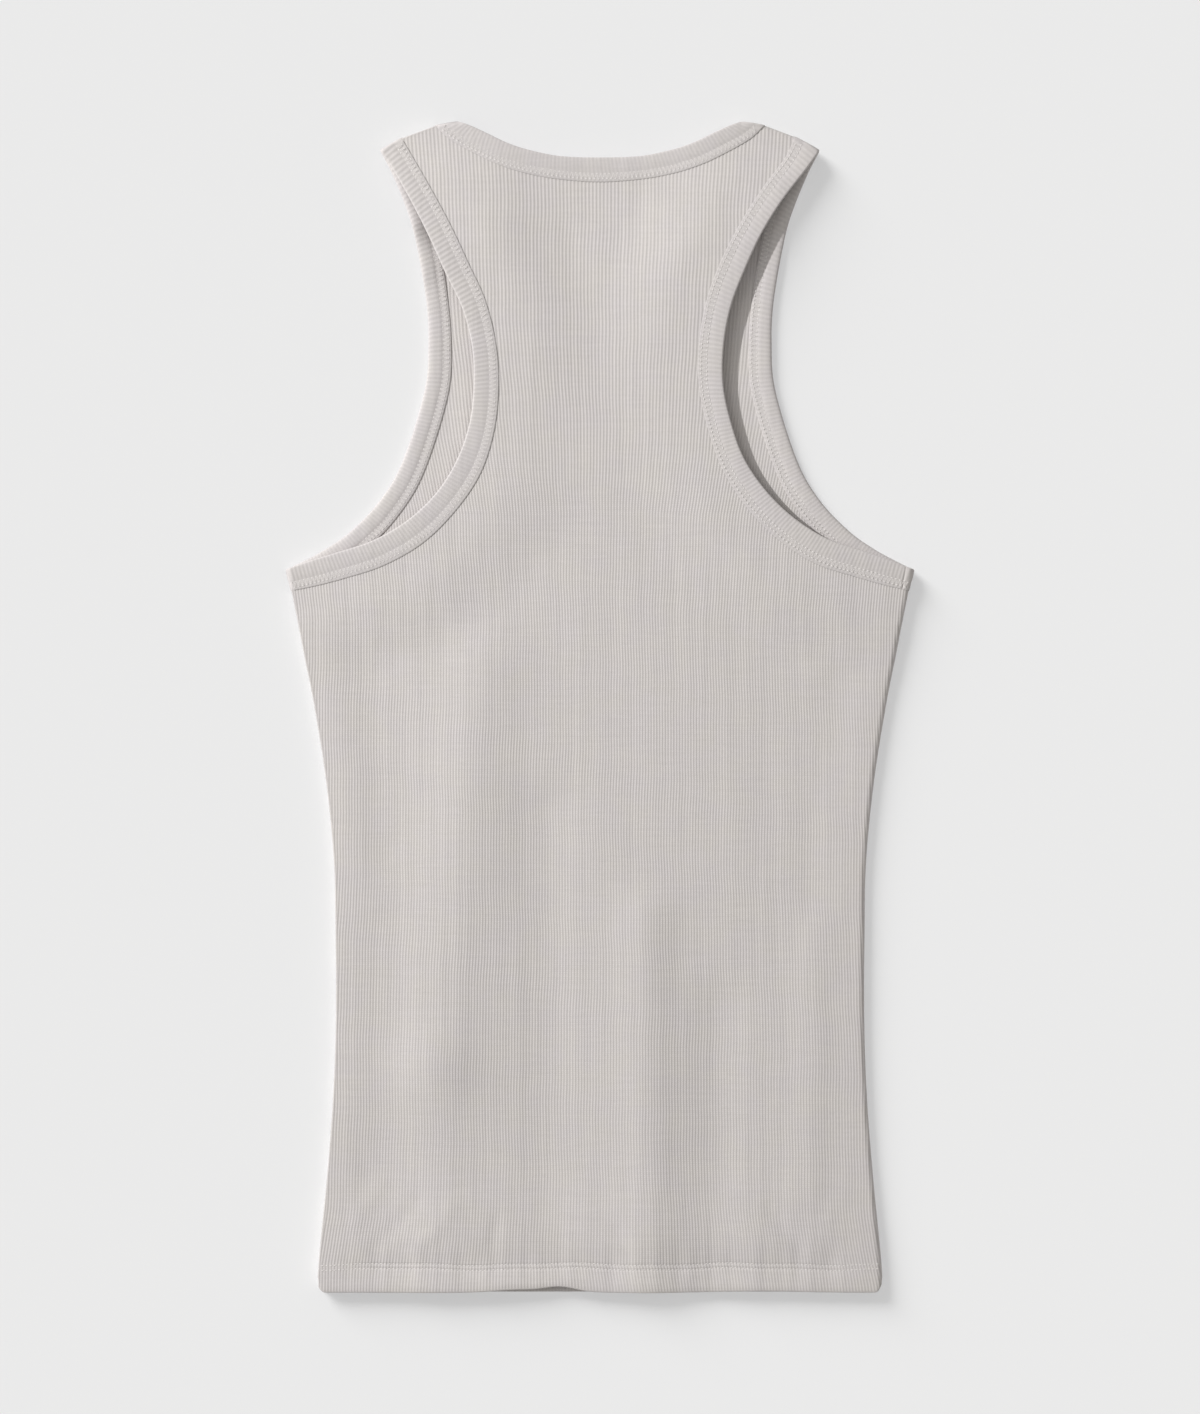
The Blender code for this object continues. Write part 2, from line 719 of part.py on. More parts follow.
def binding_row(curve, stations, side, mirror, row):
    """One line of a binding's section, run along one half of it."""
    across, lift, rib_up, rib_out = row
    free, body = edge_pairs(curve, stations)
    width = np.linalg.norm(body - free, axis=1)
    length = curve[0][-1]
    ribbed = (side == BACK) & (stations > FIRST_STATION) & (stations < length - FIRST_STATION)
    wave = rib_wave(stations / BINDING_RIB_PITCH) * ribbed
    reach = width if across == BODY_EDGE else across - rib_out * wave
    plan = (free + (body - free) * (reach / width)[:, None]) * (mirror, 1.0)
    return cloth_points(side, plan, lift + rib_up * wave)


def add_binding(name, curves, mirror):
    """A binding from its seam, along the front edge, over the fold and along the back edge."""
    points = []
    rows = []
    for row in BINDING_SECTION:
        entries = []
        for side in (FRONT, BACK):
            curve = curves[side]
            stations = with_ends(curve, FOLD_STATIONS)
            if side == BACK and max(row[2:]) > 0.0:
                half_pitch = BINDING_RIB_PITCH / 2
                length = curve[0][-1]
                first = np.ceil(FIRST_STATION / half_pitch)
                ribs = np.arange(first, (length - FIRST_STATION) / half_pitch) * half_pitch
                ends = np.array(FOLD_STATIONS)
                stations = np.concatenate([ends, ribs, (length - ends)[::-1]])
            line = binding_row(curve, stations, side, mirror, row)
            places = side * (stations + SEAM_GAP)
            if side == FRONT:
                line = line[::-1]
                places = places[::-1]
            for place, point in zip(places, line):
                entries.append((place, len(points)))
                points.append(point)
        rows.append(entries)
    faces = []
    for first, second in zip(rows, rows[1:] + rows[:1]):
        faces += lace(points, first, second)
    for end in BINDING_END:
        faces.append(tuple(rows[k][0][1] for k in end))
        faces.append(tuple(rows[k][-1][1] for k in end[::-1]))
    return add_object(name, points, faces)


clear_scene()
add_panel("front_panel", FRONT, PLAIN_COLUMNS)
add_panel("back_panel", BACK, RIB_COLUMNS)
add_binding("neck_binding", NECK, RIGHT)
for name, hand in (("armhole_binding_right", RIGHT), ("armhole_binding_left", LEFT)):
    add_binding(name, {side: ARMHOLE[side, hand] for side in (FRONT, BACK)}, hand)
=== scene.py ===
import json

import bpy
import numpy as np
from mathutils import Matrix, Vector
from mathutils.geometry import delaunay_2d_cdt, tessellate_polygon
from mathutils.kdtree import KDTree

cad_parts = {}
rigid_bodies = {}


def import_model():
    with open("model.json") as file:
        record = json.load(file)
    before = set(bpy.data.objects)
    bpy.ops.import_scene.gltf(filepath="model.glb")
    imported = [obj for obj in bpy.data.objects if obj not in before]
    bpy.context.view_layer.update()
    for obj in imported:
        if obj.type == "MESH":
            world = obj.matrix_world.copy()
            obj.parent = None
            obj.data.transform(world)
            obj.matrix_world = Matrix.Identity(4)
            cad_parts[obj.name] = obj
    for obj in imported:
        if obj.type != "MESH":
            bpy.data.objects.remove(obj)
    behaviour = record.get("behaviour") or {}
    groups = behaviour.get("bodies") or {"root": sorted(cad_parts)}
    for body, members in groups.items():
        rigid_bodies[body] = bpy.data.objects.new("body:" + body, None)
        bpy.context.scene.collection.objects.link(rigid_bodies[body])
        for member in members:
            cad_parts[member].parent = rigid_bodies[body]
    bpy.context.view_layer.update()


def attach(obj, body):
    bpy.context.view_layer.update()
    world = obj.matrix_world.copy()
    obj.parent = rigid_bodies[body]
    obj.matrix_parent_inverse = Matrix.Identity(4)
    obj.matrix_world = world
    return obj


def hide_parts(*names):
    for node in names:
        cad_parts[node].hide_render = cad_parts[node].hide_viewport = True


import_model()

# ----------------------------------------------------------------
# Front and back panel. Both are cut from one fine rib knit, with the ribs running up the body,
# and their lower edges are turned up inside as a hem. They meet in soft side and shoulder folds.
# Plan sizes are millimetres: x from the middle, y from the hem towards the neck, z off the table.

MM = 0.001
BACK = 1
FRONT = -1
RIGHT = 1
LEFT = -1

KNIT = 1.0
HEM_KNIT = 2.2
HALF_SEAM = 0.12
ROLL = {RIGHT: 3.4, LEFT: 0.6}
BINDING_LIFT = 1.3
CUT_INSET = 2.4
UNDER_BINDING = 1.5

SIDE = (
    # y, half_width
    (-330.0, 159.2),
    (-311.0, 158.3),
    (-266.0, 153.9),
    (-221.0, 150.4),
    (-176.0, 148.8),
    (-125.0, 149.0),
    (-86.0, 149.9),
    (-41.0, 154.4),
    (4.0, 161.6),
    (26.0, 166.0),
    (49.0, 170.4),
    (65.3, 173.7),
    (78.8, 176.2),
    (90.0, 177.5),
)

SHOULDER_X = 82.0
SHOULDER_Y = 331.1
SHOULDER_SLOPE = -0.375
SHOULDER_ZONE = 200.0
UNDER_BINDINGS = (92.0, 112.0)
BINDING_REACH = 13.0
BINDING_PULLS = (0.0215, 0.024)


def shoulder(x):
    """The shoulder fold: straight, and pulled down a little where the bindings fold over it."""
    neck_end, arm_end = UNDER_BINDINGS
    neck_pull, arm_pull = BINDING_PULLS
    pulled = neck_pull * np.clip(neck_end - x, 0.0, BINDING_REACH) ** 2
    pulled += arm_pull * np.clip(x - arm_end, 0.0, BINDING_REACH) ** 2
    return SHOULDER_Y + SHOULDER_SLOPE * (x - SHOULDER_X) - pulled


# Both edges of each binding: free_x, free_y, body_x, body_y
BACK_NECK = (
    (79.0, shoulder(79.0), 92.8, shoulder(92.8)),
    (73.6, 327.2, 84.4, 319.2),
    (64.0, 322.9, 69.8, 310.9),
    (52.0, 317.2, 57.0, 304.9),
    (39.0, 313.1, 42.4, 300.3),
    (22.0, 309.9, 23.6, 296.9),
    (0.0, 309.2, 0.0, 295.3),
)
FRONT_NECK = (
    (79.0, shoulder(79.0), 92.8, shoulder(92.8)),
    (77.6, 308.0, 91.0, 305.0),
    (72.3, 285.2, 86.3, 281.8),
    (63.8, 262.7, 76.8, 256.5),
    (49.2, 244.7, 58.2, 233.4),
    (26.7, 232.3, 31.2, 218.8),
    (0.0, 228.9, 0.0, 214.9),
)
BACK_ARMHOLE_RIGHT = (
    (123.4, shoulder(123.4), 109.4, shoulder(109.4)),
    (116.0, 302.2, 104.3, 309.2),
    (102.7, 285.0, 91.5, 291.9),
    (91.0, 266.2, 79.4, 272.9),
    (81.7, 246.2, 68.4, 251.7),
    (73.8, 225.5, 60.0, 229.4),
    (69.7, 203.9, 55.6, 205.0),
    (69.3, 181.8, 55.5, 181.0),
    (73.5, 160.9, 60.3, 157.4),
    (80.9, 140.2, 68.7, 133.8),
    (93.2, 121.9, 82.4, 112.3),
    (109.0, 106.5, 99.8, 94.4),
    (127.7, 94.7, 120.9, 80.6),
    (148.5, 87.5, 144.5, 72.9),
    (163.0, 82.6, 160.4, 68.4),
    (176.0, 77.6, 173.7, 65.3),
)
BACK_ARMHOLE_LEFT = (
    (123.4, shoulder(123.4), 111.6, shoulder(111.6)),
    (116.9, 303.0, 105.4, 309.6),
    (106.0, 283.8, 94.5, 290.6),
    (96.0, 264.0, 83.4, 269.8),
    (86.9, 243.9, 73.9, 249.5),
    (77.4, 223.9, 64.4, 228.6),
    (72.0, 202.5, 58.4, 204.1),
    (71.1, 180.4, 56.9, 180.2),
    (73.5, 159.2, 59.4, 155.3),
    (80.8, 138.4, 67.2, 131.0),
    (92.7, 119.7, 81.6, 109.8),
    (108.8, 104.7, 99.9, 91.9),
    (127.8, 93.7, 122.1, 79.3),
    (148.8, 86.7, 144.6, 72.0),
    (163.0, 82.3, 160.4, 67.9),
    (176.0, 77.6, 173.7, 65.3),
)
FRONT_ARMHOLE = (
    (123.4, shoulder(123.4), 111.0, shoulder(111.0)),
    (117.4, 300.9, 105.6, 306.3),
    (109.9, 282.9, 97.7, 287.9),
    (104.3, 264.9, 91.6, 268.5),
    (97.9, 228.9, 85.7, 230.3),
    (96.7, 203.6, 83.7, 203.6),
    (98.8, 178.3, 85.6, 175.4),
    (111.0, 138.9, 99.1, 132.2),
    (123.8, 116.4, 113.6, 107.7),
    (140.1, 99.2, 131.9, 88.3),
    (153.6, 89.5, 147.7, 77.3),
    (164.4, 83.4, 161.7, 70.3),
    (176.0, 77.6, 173.7, 65.3),
)
CURVE_STEPS = 8


def smooth_rows(rows):
    """Dense rows of a smooth curve through the rows of a table."""
    rows = np.array(rows)
    padded = np.vstack([2 * rows[0] - rows[1], rows, 2 * rows[-1] - rows[-2]])
    dense = []
    for i in range(1, len(rows)):
        before, start, end, after = padded[i - 1:i + 3]
        for t in np.arange(CURVE_STEPS) / CURVE_STEPS:
            bend = 2 * before - 5 * start + 4 * end - after
            twist = 3 * start - before - 3 * end + after
            dense.append(0.5 * (2 * start + (end - before) * t + bend * t ** 2 + twist * t ** 3))
    dense.append(rows[-1])
    return np.array(dense)


def mirrored(rows):
    return [(-row[0], row[1], -row[2], row[3]) for row in rows]


def edge_curve(rows):
    """A binding's two edges by length along it, as (lengths, dense rows)."""
    dense = smooth_rows(rows)
    middle = (dense[:, 0:2] + dense[:, 2:4]) / 2
    steps = np.linalg.norm(np.diff(middle, axis=0), axis=1)
    return np.concatenate([[0.0], np.cumsum(steps)]), dense


NECK = {
    BACK: edge_curve(list(BACK_NECK) + mirrored(BACK_NECK)[-2::-1]),
    FRONT: edge_curve(list(FRONT_NECK) + mirrored(FRONT_NECK)[-2::-1]),
}
ARMHOLE = {
    (BACK, RIGHT): edge_curve(BACK_ARMHOLE_RIGHT),
    (BACK, LEFT): edge_curve(BACK_ARMHOLE_LEFT),
    (FRONT, RIGHT): edge_curve(FRONT_ARMHOLE),
    (FRONT, LEFT): edge_curve(FRONT_ARMHOLE),
}
SIDE_CURVE = smooth_rows(SIDE)


def half_width(y):
    return np.interp(y, SIDE_CURVE[:, 0], SIDE_CURVE[:, 1])


def body_line(curve):
    return curve[1][:, 2:4]


def fade(distance, limits):
    """1 up to the first limit, 0 from the second, smooth between them."""
    near, far = limits
    share = np.clip((far - distance) / (far - near), 0.0, 1.0)
    return share * share * (3.0 - 2.0 * share)


BLOCK = 4000


def nearest(line, x, y):
    """Distance from each point to a line of points, and the x of the nearest one."""
    start = line[:-1]
    along = line[1:] - start
    square = np.sum(along * along, axis=1)
    miss = np.empty(len(x))
    foot_x = np.empty(len(x))
    for first in range(0, len(x), BLOCK):
        part = slice(first, first + BLOCK)
        offset = np.column_stack([x[part], y[part]])[:, None, :] - start[None, :, :]
        share = np.clip(np.sum(offset * along, axis=2) / square, 0.0, 1.0)[:, :, None]
        gap = np.linalg.norm(offset - share * along, axis=2)
        best = np.argmin(gap, axis=1)
        rows = np.arange(len(best))
        miss[part] = gap[rows, best]
        foot_x[part] = (start[None] + share * along)[rows, best, 0]
    return miss, foot_x


def to_armhole(side, x, y):
    """Distance to the armhole's binding on the same half of the panel."""
    gap = np.empty(len(x))
    for hand in (RIGHT, LEFT):
        half = (x >= 0.0) == (hand == RIGHT)
        gap[half], _ = nearest(body_line(ARMHOLE[side, hand]), np.abs(x[half]), y[half])
    return gap


# Heights of the cloth off the table
BODY_TOP = 3.9
SIDE_TOP = 5.2
HEM_TOP = 6.2
HEM_RISE = (-311.0, -250.0)
OVER_FRONT_NECK_TOP = 5.8
BACK_NECK_TOP = 5.0
SHOULDER_TOP = 6.6
ARMHOLE_TOP = smooth_rows((
    # y, top
    (60.0, 6.3),
    (110.0, 6.6),
    (160.0, 7.0),
    (200.0, 7.8),
    (240.0, 8.9),
    (266.0, 9.5),
    (294.0, 8.4),
    (314.0, 6.9),
    (332.0, 6.6),
))
SIDE_FADE = (7.0, 35.0)
EDGE_FADE = (14.5, 60.0)
NECK_FADE = (14.5, 50.0)
FRONT_NECK_FADE = (10.0, 40.0)
LIFTED_FRONT_FADE = (14.5, 30.0)

BACK_FOLDS = (
    # top_x, top_y, bottom_x, bottom_y, spread, rise
    (-66.0, 20.0, -92.0, -200.0, 24.0, 2.2),
    (-92.0, -200.0, -88.0, -330.0, 22.0, 1.4),
    (-30.0, -60.0, -28.0, -330.0, 17.0, -1.2),
    (26.0, -120.0, 27.0, -330.0, 16.0, 2.0),
    (68.0, -170.0, 62.0, -330.0, 14.0, -1.2),
    (126.0, -130.0, 118.0, -270.0, 15.0, 1.4),
    (-56.0, -327.0, -26.0, -327.0, 12.0, 1.4),
    (0.0, 280.0, 0.0, 150.0, 42.0, 1.7),
)
BACK_CREASES = (
    # from_x, from_y, to_x, to_y, spread, rise
    (-148.0, -224.0, -132.0, -262.0, 5.0, -0.45),
    (-150.0, -246.0, -138.0, -286.0, 5.0, 0.40),
    (-150.0, -302.0, -124.0, -270.0, 5.5, 0.45),
    (-128.0, -306.0, -102.0, -278.0, 5.0, -0.40),
    (-104.0, -306.0, -84.0, -284.0, 4.5, 0.35),
    (-152.0, -20.0, -138.0, -18.0, 5.0, -0.40),
    (-147.0, -76.0, -120.0, -82.0, 6.0, -0.35),
    (-147.0, -100.0, -128.0, -112.0, 6.0, 0.30),
    (-150.0, 40.0, -118.0, 26.0, 7.0, -0.35),
    (-128.0, 62.0, -92.0, 60.0, 7.0, 0.35),
    (147.0, -262.0, 128.0, -290.0, 5.5, 0.40),
    (150.0, -296.0, 132.0, -308.0, 5.0, -0.45),
    (112.0, -306.0, 96.0, -284.0, 5.0, -0.40),
    (147.0, -150.0, 132.0, -166.0, 6.0, -0.35),
    (160.0, 36.0, 122.0, 22.0, 8.0, 0.35),
    (100.0, 72.0, 72.0, 92.0, 7.0, 0.35),
    (14.0, -308.0, 10.0, -292.0, 4.0, -0.35),
    (-64.0, -308.0, -58.0, -290.0, 4.5, -0.40),
)
FRONT_CREASES = (
    # from_x, from_y, to_x, to_y, spread, rise
    (-121.0, 312.0, -106.0, 272.0, 9.0, 3.0),
    (-106.0, 272.0, -100.0, 246.0, 8.0, 1.2),
    (70.0, 150.0, 58.0, 104.0, 7.0, 0.35),
    (-74.0, 160.0, -60.0, 118.0, 6.0, 0.30),
    (150.0, 22.0, 118.0, 8.0, 7.0, 0.45),
    (-146.0, -78.0, -118.0, -90.0, 7.0, 0.50),
    (24.0, -50.0, 36.0, -178.0, 10.0, 0.55),
    (-44.0, 34.0, -54.0, -92.0, 11.0, 0.50),
    (146.0, -238.0, 128.0, -274.0, 6.0, 0.50),
    (-148.0, -226.0, -130.0, -264.0, 6.0, 0.45),
    (-122.0, -302.0, -98.0, -276.0, 5.0, 0.40),
    (112.0, -304.0, 92.0, -282.0, 5.0, 0.45),
)
HEM_EDGE = -329.4
HEM_CORNER = 4.5
HEM_ROLL = 3.2
HEM_NEEDLES = (-313.5, -316.2)
HEM_DIP = 0.9
HEM_DIP_REACH = 8.0
NEEDLE_DIP = 0.25
NEEDLE_REACH = 0.6
HEM_LIFTS = (
    # x, spread, rise
    (-46.0, 19.0, 1.7),
    (-22.0, 12.0, 3.0),
    (92.0, 28.0, 0.7),
)
NEEDLE_WAVES = (
    # length, reach
    (97.0, 0.45),
    (41.0, 0.25),
)
PUCKERS = (
    # length, rise
    (31.0, 0.13),
    (17.0, 0.09),
    (9.5, 0.06),
)


def relief(table, x, y):
    total = np.zeros_like(x)
    for from_x, from_y, to_x, to_y, spread, rise in table:
        distance, _ = nearest(np.array([(from_x, from_y), (to_x, to_y)]), x, y)
        total += rise * np.exp(-(distance / spread) ** 2)
    return total


def waves(table, x):
    """A gentle wander along the hem, summed from a table of lengths and reaches."""
    return sum(reach * np.sin(2 * np.pi * x / length + length) for length, reach in table)


def hem_dips(x, y):
    """The pull of the two needle rows that hold the hem."""
    middle = sum(HEM_NEEDLES) / 2
    dip = HEM_DIP * np.exp(-((y - middle) / HEM_DIP_REACH) ** 2)
    for needle in HEM_NEEDLES:
        from_row = y - needle - waves(NEEDLE_WAVES, x)
        dip += NEEDLE_DIP * np.exp(-(from_row / NEEDLE_REACH) ** 2)
    return dip + waves(PUCKERS, x) * np.exp(-((y - middle) / (2 * HEM_DIP_REACH)) ** 2)


def front_height(x, y):
    """Underside of the front panel: on the table, but over its bindings and up in its creases."""
    armhole = to_armhole(FRONT, x, y)
    neck, _ = nearest(body_line(NECK[FRONT]), x, y)
    lifted = np.maximum(fade(armhole, LIFTED_FRONT_FADE), fade(neck, LIFTED_FRONT_FADE))
    return BINDING_LIFT * lifted + relief(FRONT_CREASES, x, y)


def blend(start, end, share):
    return start + (end - start) * share


def back_height(x, y):
    """Upper face of the back panel, with its folds, creases and the pull of the hem."""
    near_hem = fade(y, HEM_RISE)
    height = blend(BODY_TOP, HEM_TOP, near_hem)
    height += relief(BACK_FOLDS, x, y) + relief(BACK_CREASES, x, y) - hem_dips(x, y)
    side = fade(half_width(y) - np.abs(x), SIDE_FADE)
    height = blend(height, blend(SIDE_TOP, HEM_TOP, near_hem), side)
    over_neck, _ = nearest(body_line(NECK[FRONT]), x, y)
    height = blend(height, OVER_FRONT_NECK_TOP, fade(over_neck, FRONT_NECK_FADE))
    neck, neck_x = nearest(body_line(NECK[BACK]), x, y)
    rise = fade(SHOULDER_X - np.abs(neck_x), (0.0, SHOULDER_X))
    height = blend(height, blend(BACK_NECK_TOP, SHOULDER_TOP, rise), fade(neck, NECK_FADE))
    armhole_top = np.interp(y, ARMHOLE_TOP[:, 0], ARMHOLE_TOP[:, 1])
    return blend(height, armhole_top, fade(to_armhole(BACK, x, y), EDGE_FADE))


def fold_distance(x, y):
    """Distance in from the side or shoulder fold, and the outward direction of the fold."""
    mirror = np.sign(x)
    run = np.hypot(1.0, SHOULDER_SLOPE)
    at_shoulder = y > SHOULDER_ZONE
    to_shoulder = (shoulder(np.abs(x)) - y) / run
    to_side = half_width(y) - np.abs(x)
    distance = np.maximum(np.where(at_shoulder, to_shoulder, to_side), 0.0)
    outward_x = np.where(at_shoulder, -SHOULDER_SLOPE / run * mirror, mirror)
    outward_y = np.where(at_shoulder, 1.0 / run, 0.0)
    return distance, outward_x, outward_y


def cloth_points(side, plan, lift, soft_roll=False):
    """Points over a plan, moved out by lift, and the cloth's outward direction at each."""
    x = plan[:, 0]
    y = plan[:, 1]
    top = back_height(x, y)
    low = front_height(x, y)
    half = (top - low) / 2
    distance, outward_x, outward_y = fold_distance(x, y)
    reach = np.where(x > 0.0, ROLL[RIGHT], ROLL[LEFT]) if soft_roll else half
    sine = np.clip(1.0 - distance / reach, 0.0, 1.0)
    cosine = np.sqrt(1.0 - sine * sine)
    across = sine / reach
    up = cosine / half
    size = np.hypot(across, up)
    across = across / size
    up = side * up / size
    outward = np.column_stack([across * outward_x, across * outward_y, up])
    z = (top + low) / 2 + side * (HALF_SEAM + (half - HALF_SEAM) * cosine)
    points = np.column_stack([x, y, z]) + outward * np.broadcast_to(lift, x.shape)[:, None]
    return points, outward


# Ribs: one column of the knit is a ridge and a valley, and it wanders a little as knit does
RIB_PITCH = (
    # y, pitch
    (-330.0, 1.73),
    (-285.0, 1.66),
    (-170.0, 1.63),
    (-60.0, 1.60),
    (52.0, 1.60),
    (108.0, 1.66),
    (164.0, 1.88),
    (220.0, 2.01),
    (277.0, 2.04),
    (330.0, 2.14),
)
RIB_WANDERS = (
    # length_y, length_x, reach
    (146.0, 390.0, 0.45),
    (61.0, 170.0, 0.22),
    (27.0, 83.0, 0.10),
)
HEM_LEAN = 0.13
HEM_SHIFT = 0.75
HEM_DRAG = (0.6, 0.4)
DRAG_SPAN = 37.0
DRAG_START = 1.2
COURSE = 1.15
RIB_POINTS = 4
RIB_DEPTH = 0.24
RIDGE_SHARPNESS = 2.2
RIB_FADE = (0.15, 1.0)


def rib_pitch(y):
    rows = np.array(RIB_PITCH)
    return np.interp(y, rows[:, 0], rows[:, 1])


def rib_shift(x, y):
    """How far the ribs stand aside from straight columns, and how the hem drags them."""
    total = np.zeros(np.broadcast(x, y).shape)
    for length_y, length_x, reach in RIB_WANDERS:
        total = total + reach * np.sin(2 * np.pi * (y / length_y + x / length_x) + length_y)
    upper, lower = HEM_NEEDLES
    mean, swing = HEM_DRAG
    drag = mean + swing * np.sin(x / DRAG_SPAN + DRAG_START)
    total = total + HEM_SHIFT * fade(y, (lower, upper)) * drag
    return total + HEM_LEAN * drag * np.maximum(lower - y, 0.0)


def rib_phase(x, y):
    return (x - rib_shift(x, y)) / rib_pitch(y)


def rib_x(phase, y):
    straight = phase * rib_pitch(y)
    return straight + rib_shift(straight, y)


def hem_edge(side, x):
    """The hem's lower edge, drawn up in places and rounded at the corners."""
    inward = half_width(HEM_EDGE) - np.abs(x)
    corner = HEM_CORNER * np.clip(1.0 - inward / HEM_CORNER, 0.0, 1.0) ** 2
    lifted = 0.0
    if side == BACK:
        for centre, spread, rise in HEM_LIFTS:
            lifted = lifted + rise * np.exp(-((x - centre) / spread) ** 2)
    return HEM_EDGE + corner + lifted


FOLD_STATIONS = (0.0, 0.4, 1.45, 2.9, 4.2, 6.0)
FIRST_STATION = 8.0
STATION_STEP = 5.0
CORNER_STEPS = 4
CORNER_POINTS = (6.0, 4.5, 3.3, 2.3, 1.4, 0.7, 0.25, 0.0)
HEM_POINTS = (3.0, 151.0, 38)  # first, last, count
SIDE_POINTS = (-321.0, 62.0, 64)
STRAP_POINTS = 10
FIELD_INSET = 0.3
LOOP_INSET = 0.12


def edge_pairs(curve, stations):
    """Free and body points of a binding at the given lengths."""
    lengths, dense = curve
    columns = [np.interp(stations, lengths, dense[:, k]) for k in range(4)]
    return np.column_stack(columns[:2]), np.column_stack(columns[2:])


def cut_stations(curve, first):
    """Lengths along a cut edge, close together near both folds."""
    length = curve[0][-1]
    ends = np.array(FOLD_STATIONS)
    count = int(np.ceil((length - 2 * FIRST_STATION) / STATION_STEP / 2)) * 2 + 1
    inner = np.linspace(FIRST_STATION, length - FIRST_STATION, count)
    stations = np.concatenate([ends, inner, (length - ends)[::-1]])
    return stations[(stations >= first) & (stations <= length - first)]


def edge_points(curve, stations, hand, covered):
    """Points along a panel's cut edge, or along the line that a binding just covers."""
    free, body = edge_pairs(curve, stations)
    across = (body - free) / np.linalg.norm(body - free, axis=1)[:, None]
    plan = body - across * UNDER_BINDING if covered else free + across * CUT_INSET
    return plan * (hand, 1.0)


def corner_point(side, distance, hand):
    """Where a line beside the side fold meets the hem's edge."""
    y = HEM_EDGE + HEM_CORNER
    for _ in range(CORNER_STEPS):
        x = half_width(y) - distance
        y = float(hem_edge(side, np.array(x)))
    return np.array([[hand * x, y]])


def panel_loops(side):
    """The panel's cut outline and, inside it, the field of ribs that a binding just covers."""
    outline = []
    field = []
    side_y = np.linspace(*SIDE_POINTS)
    neck_curve = NECK[side]
    half_neck = neck_curve[0][-1] / 2
    for hand in (RIGHT, LEFT):
        arm_curve = ARMHOLE[side, hand]
        hem_x = hand * np.linspace(*HEM_POINTS)
        hem = np.column_stack([hem_x, hem_edge(side, hem_x)])
        corner = [corner_point(side, distance, hand) for distance in CORNER_POINTS]
        for loop, step, covered in ((outline, 0.0, False), (field, FIELD_INSET, True)):
            sides = np.column_stack([hand * (half_width(side_y) - step), side_y])
            around = [hem] + corner[:-1 if covered else None] + [sides]
            arm_cut = edge_points(arm_curve, cut_stations(arm_curve, step)[::-1], hand, covered)
            neck = cut_stations(neck_curve, step)
            neck = neck[neck < half_neck - HALF_SEAM]
            neck_cut = edge_points(neck_curve, neck, hand, covered)
            strap = np.linspace(abs(arm_cut[-1, 0]), abs(neck_cut[0, 0]), STRAP_POINTS)[1:-1]
            fold = np.column_stack([hand * strap, shoulder(strap) - step])
            loop.append(np.vstack(around + [arm_cut, fold, neck_cut]))
    for loop, covered in ((outline, False), (field, True)):
        loop.insert(1, edge_points(neck_curve, np.array([half_neck]), RIGHT, covered))
        loop[2] = loop[2][::-1]
    return np.vstack(outline), inset(np.vstack(field), LOOP_INSET)


def inset(loop, distance):
    """A closed loop moved inwards, the loop being counter-clockwise."""
    before = loop - np.roll(loop, 1, axis=0)
    after = np.roll(loop, -1, axis=0) - loop
    before = before / np.linalg.norm(before, axis=1)[:, None]
    after = after / np.linalg.norm(after, axis=1)[:, None]
    mean = before + after
    mean = mean / np.linalg.norm(mean, axis=1)[:, None]
    return loop + distance * np.column_stack([-mean[:, 1], mean[:, 0]])


def inside_loop(loop, points):
    after = np.roll(loop, -1, axis=0)
    rise = np.where(after[:, 1] == loop[:, 1], 1.0, after[:, 1] - loop[:, 1])
    inside = np.empty(len(points), bool)
    for first in range(0, len(points), BLOCK):
        x = points[first:first + BLOCK, 0][:, None]
        y = points[first:first + BLOCK, 1][:, None]
        spans = (loop[:, 1] > y) != (after[:, 1] > y)
        meet = loop[:, 0] + (y - loop[:, 1]) / rise * (after[:, 0] - loop[:, 0])
        inside[first:first + BLOCK] = np.sum(spans & (x < meet), axis=1) % 2 == 1
    return inside


POINT_MERGE = 0.004
COLUMN_SNAP = 0.1
END_STEPS = (0.35, 0.8, 1.5, 3.0)
HEM_ROWS = (-317.8, -311.8, 15)  # first, last, count
ROW_ROOM = 0.6
BACK_ROW_STEP = 6.0
FRONT_ROW_STEP = 20.0
PLAIN_STEP = 7.0


class Plan:
    """Points and fixed edges of a flat layout, to be filled with triangles."""

    def __init__(self):
        self.points = []
        self.edges = []

    def add(self, point):
        self.points.append(Vector((float(point[0]), float(point[1]))))
        return len(self.points) - 1

    def chain(self, points, closed=False):
        indices = [self.add(point) for point in points]
        self.join(indices + indices[:1] if closed else indices)

    def join(self, indices):
        self.edges.extend(zip(indices[:-1], indices[1:]))

    def fill(self, outline):
        """Triangles inside the outline, as (plan points, faces)."""
        cut = delaunay_2d_cdt(self.points, self.edges, [], 0, POINT_MERGE)
        points = np.array([tuple(point) for point in cut[0]])
        faces = np.array(cut[2])
        faces = faces[inside_loop(outline, points[faces].mean(axis=1))]
        used = np.unique(faces)
        renumber = np.full(len(points), -1)
        renumber[used] = np.arange(len(used))
        return points[used], renumber[faces]


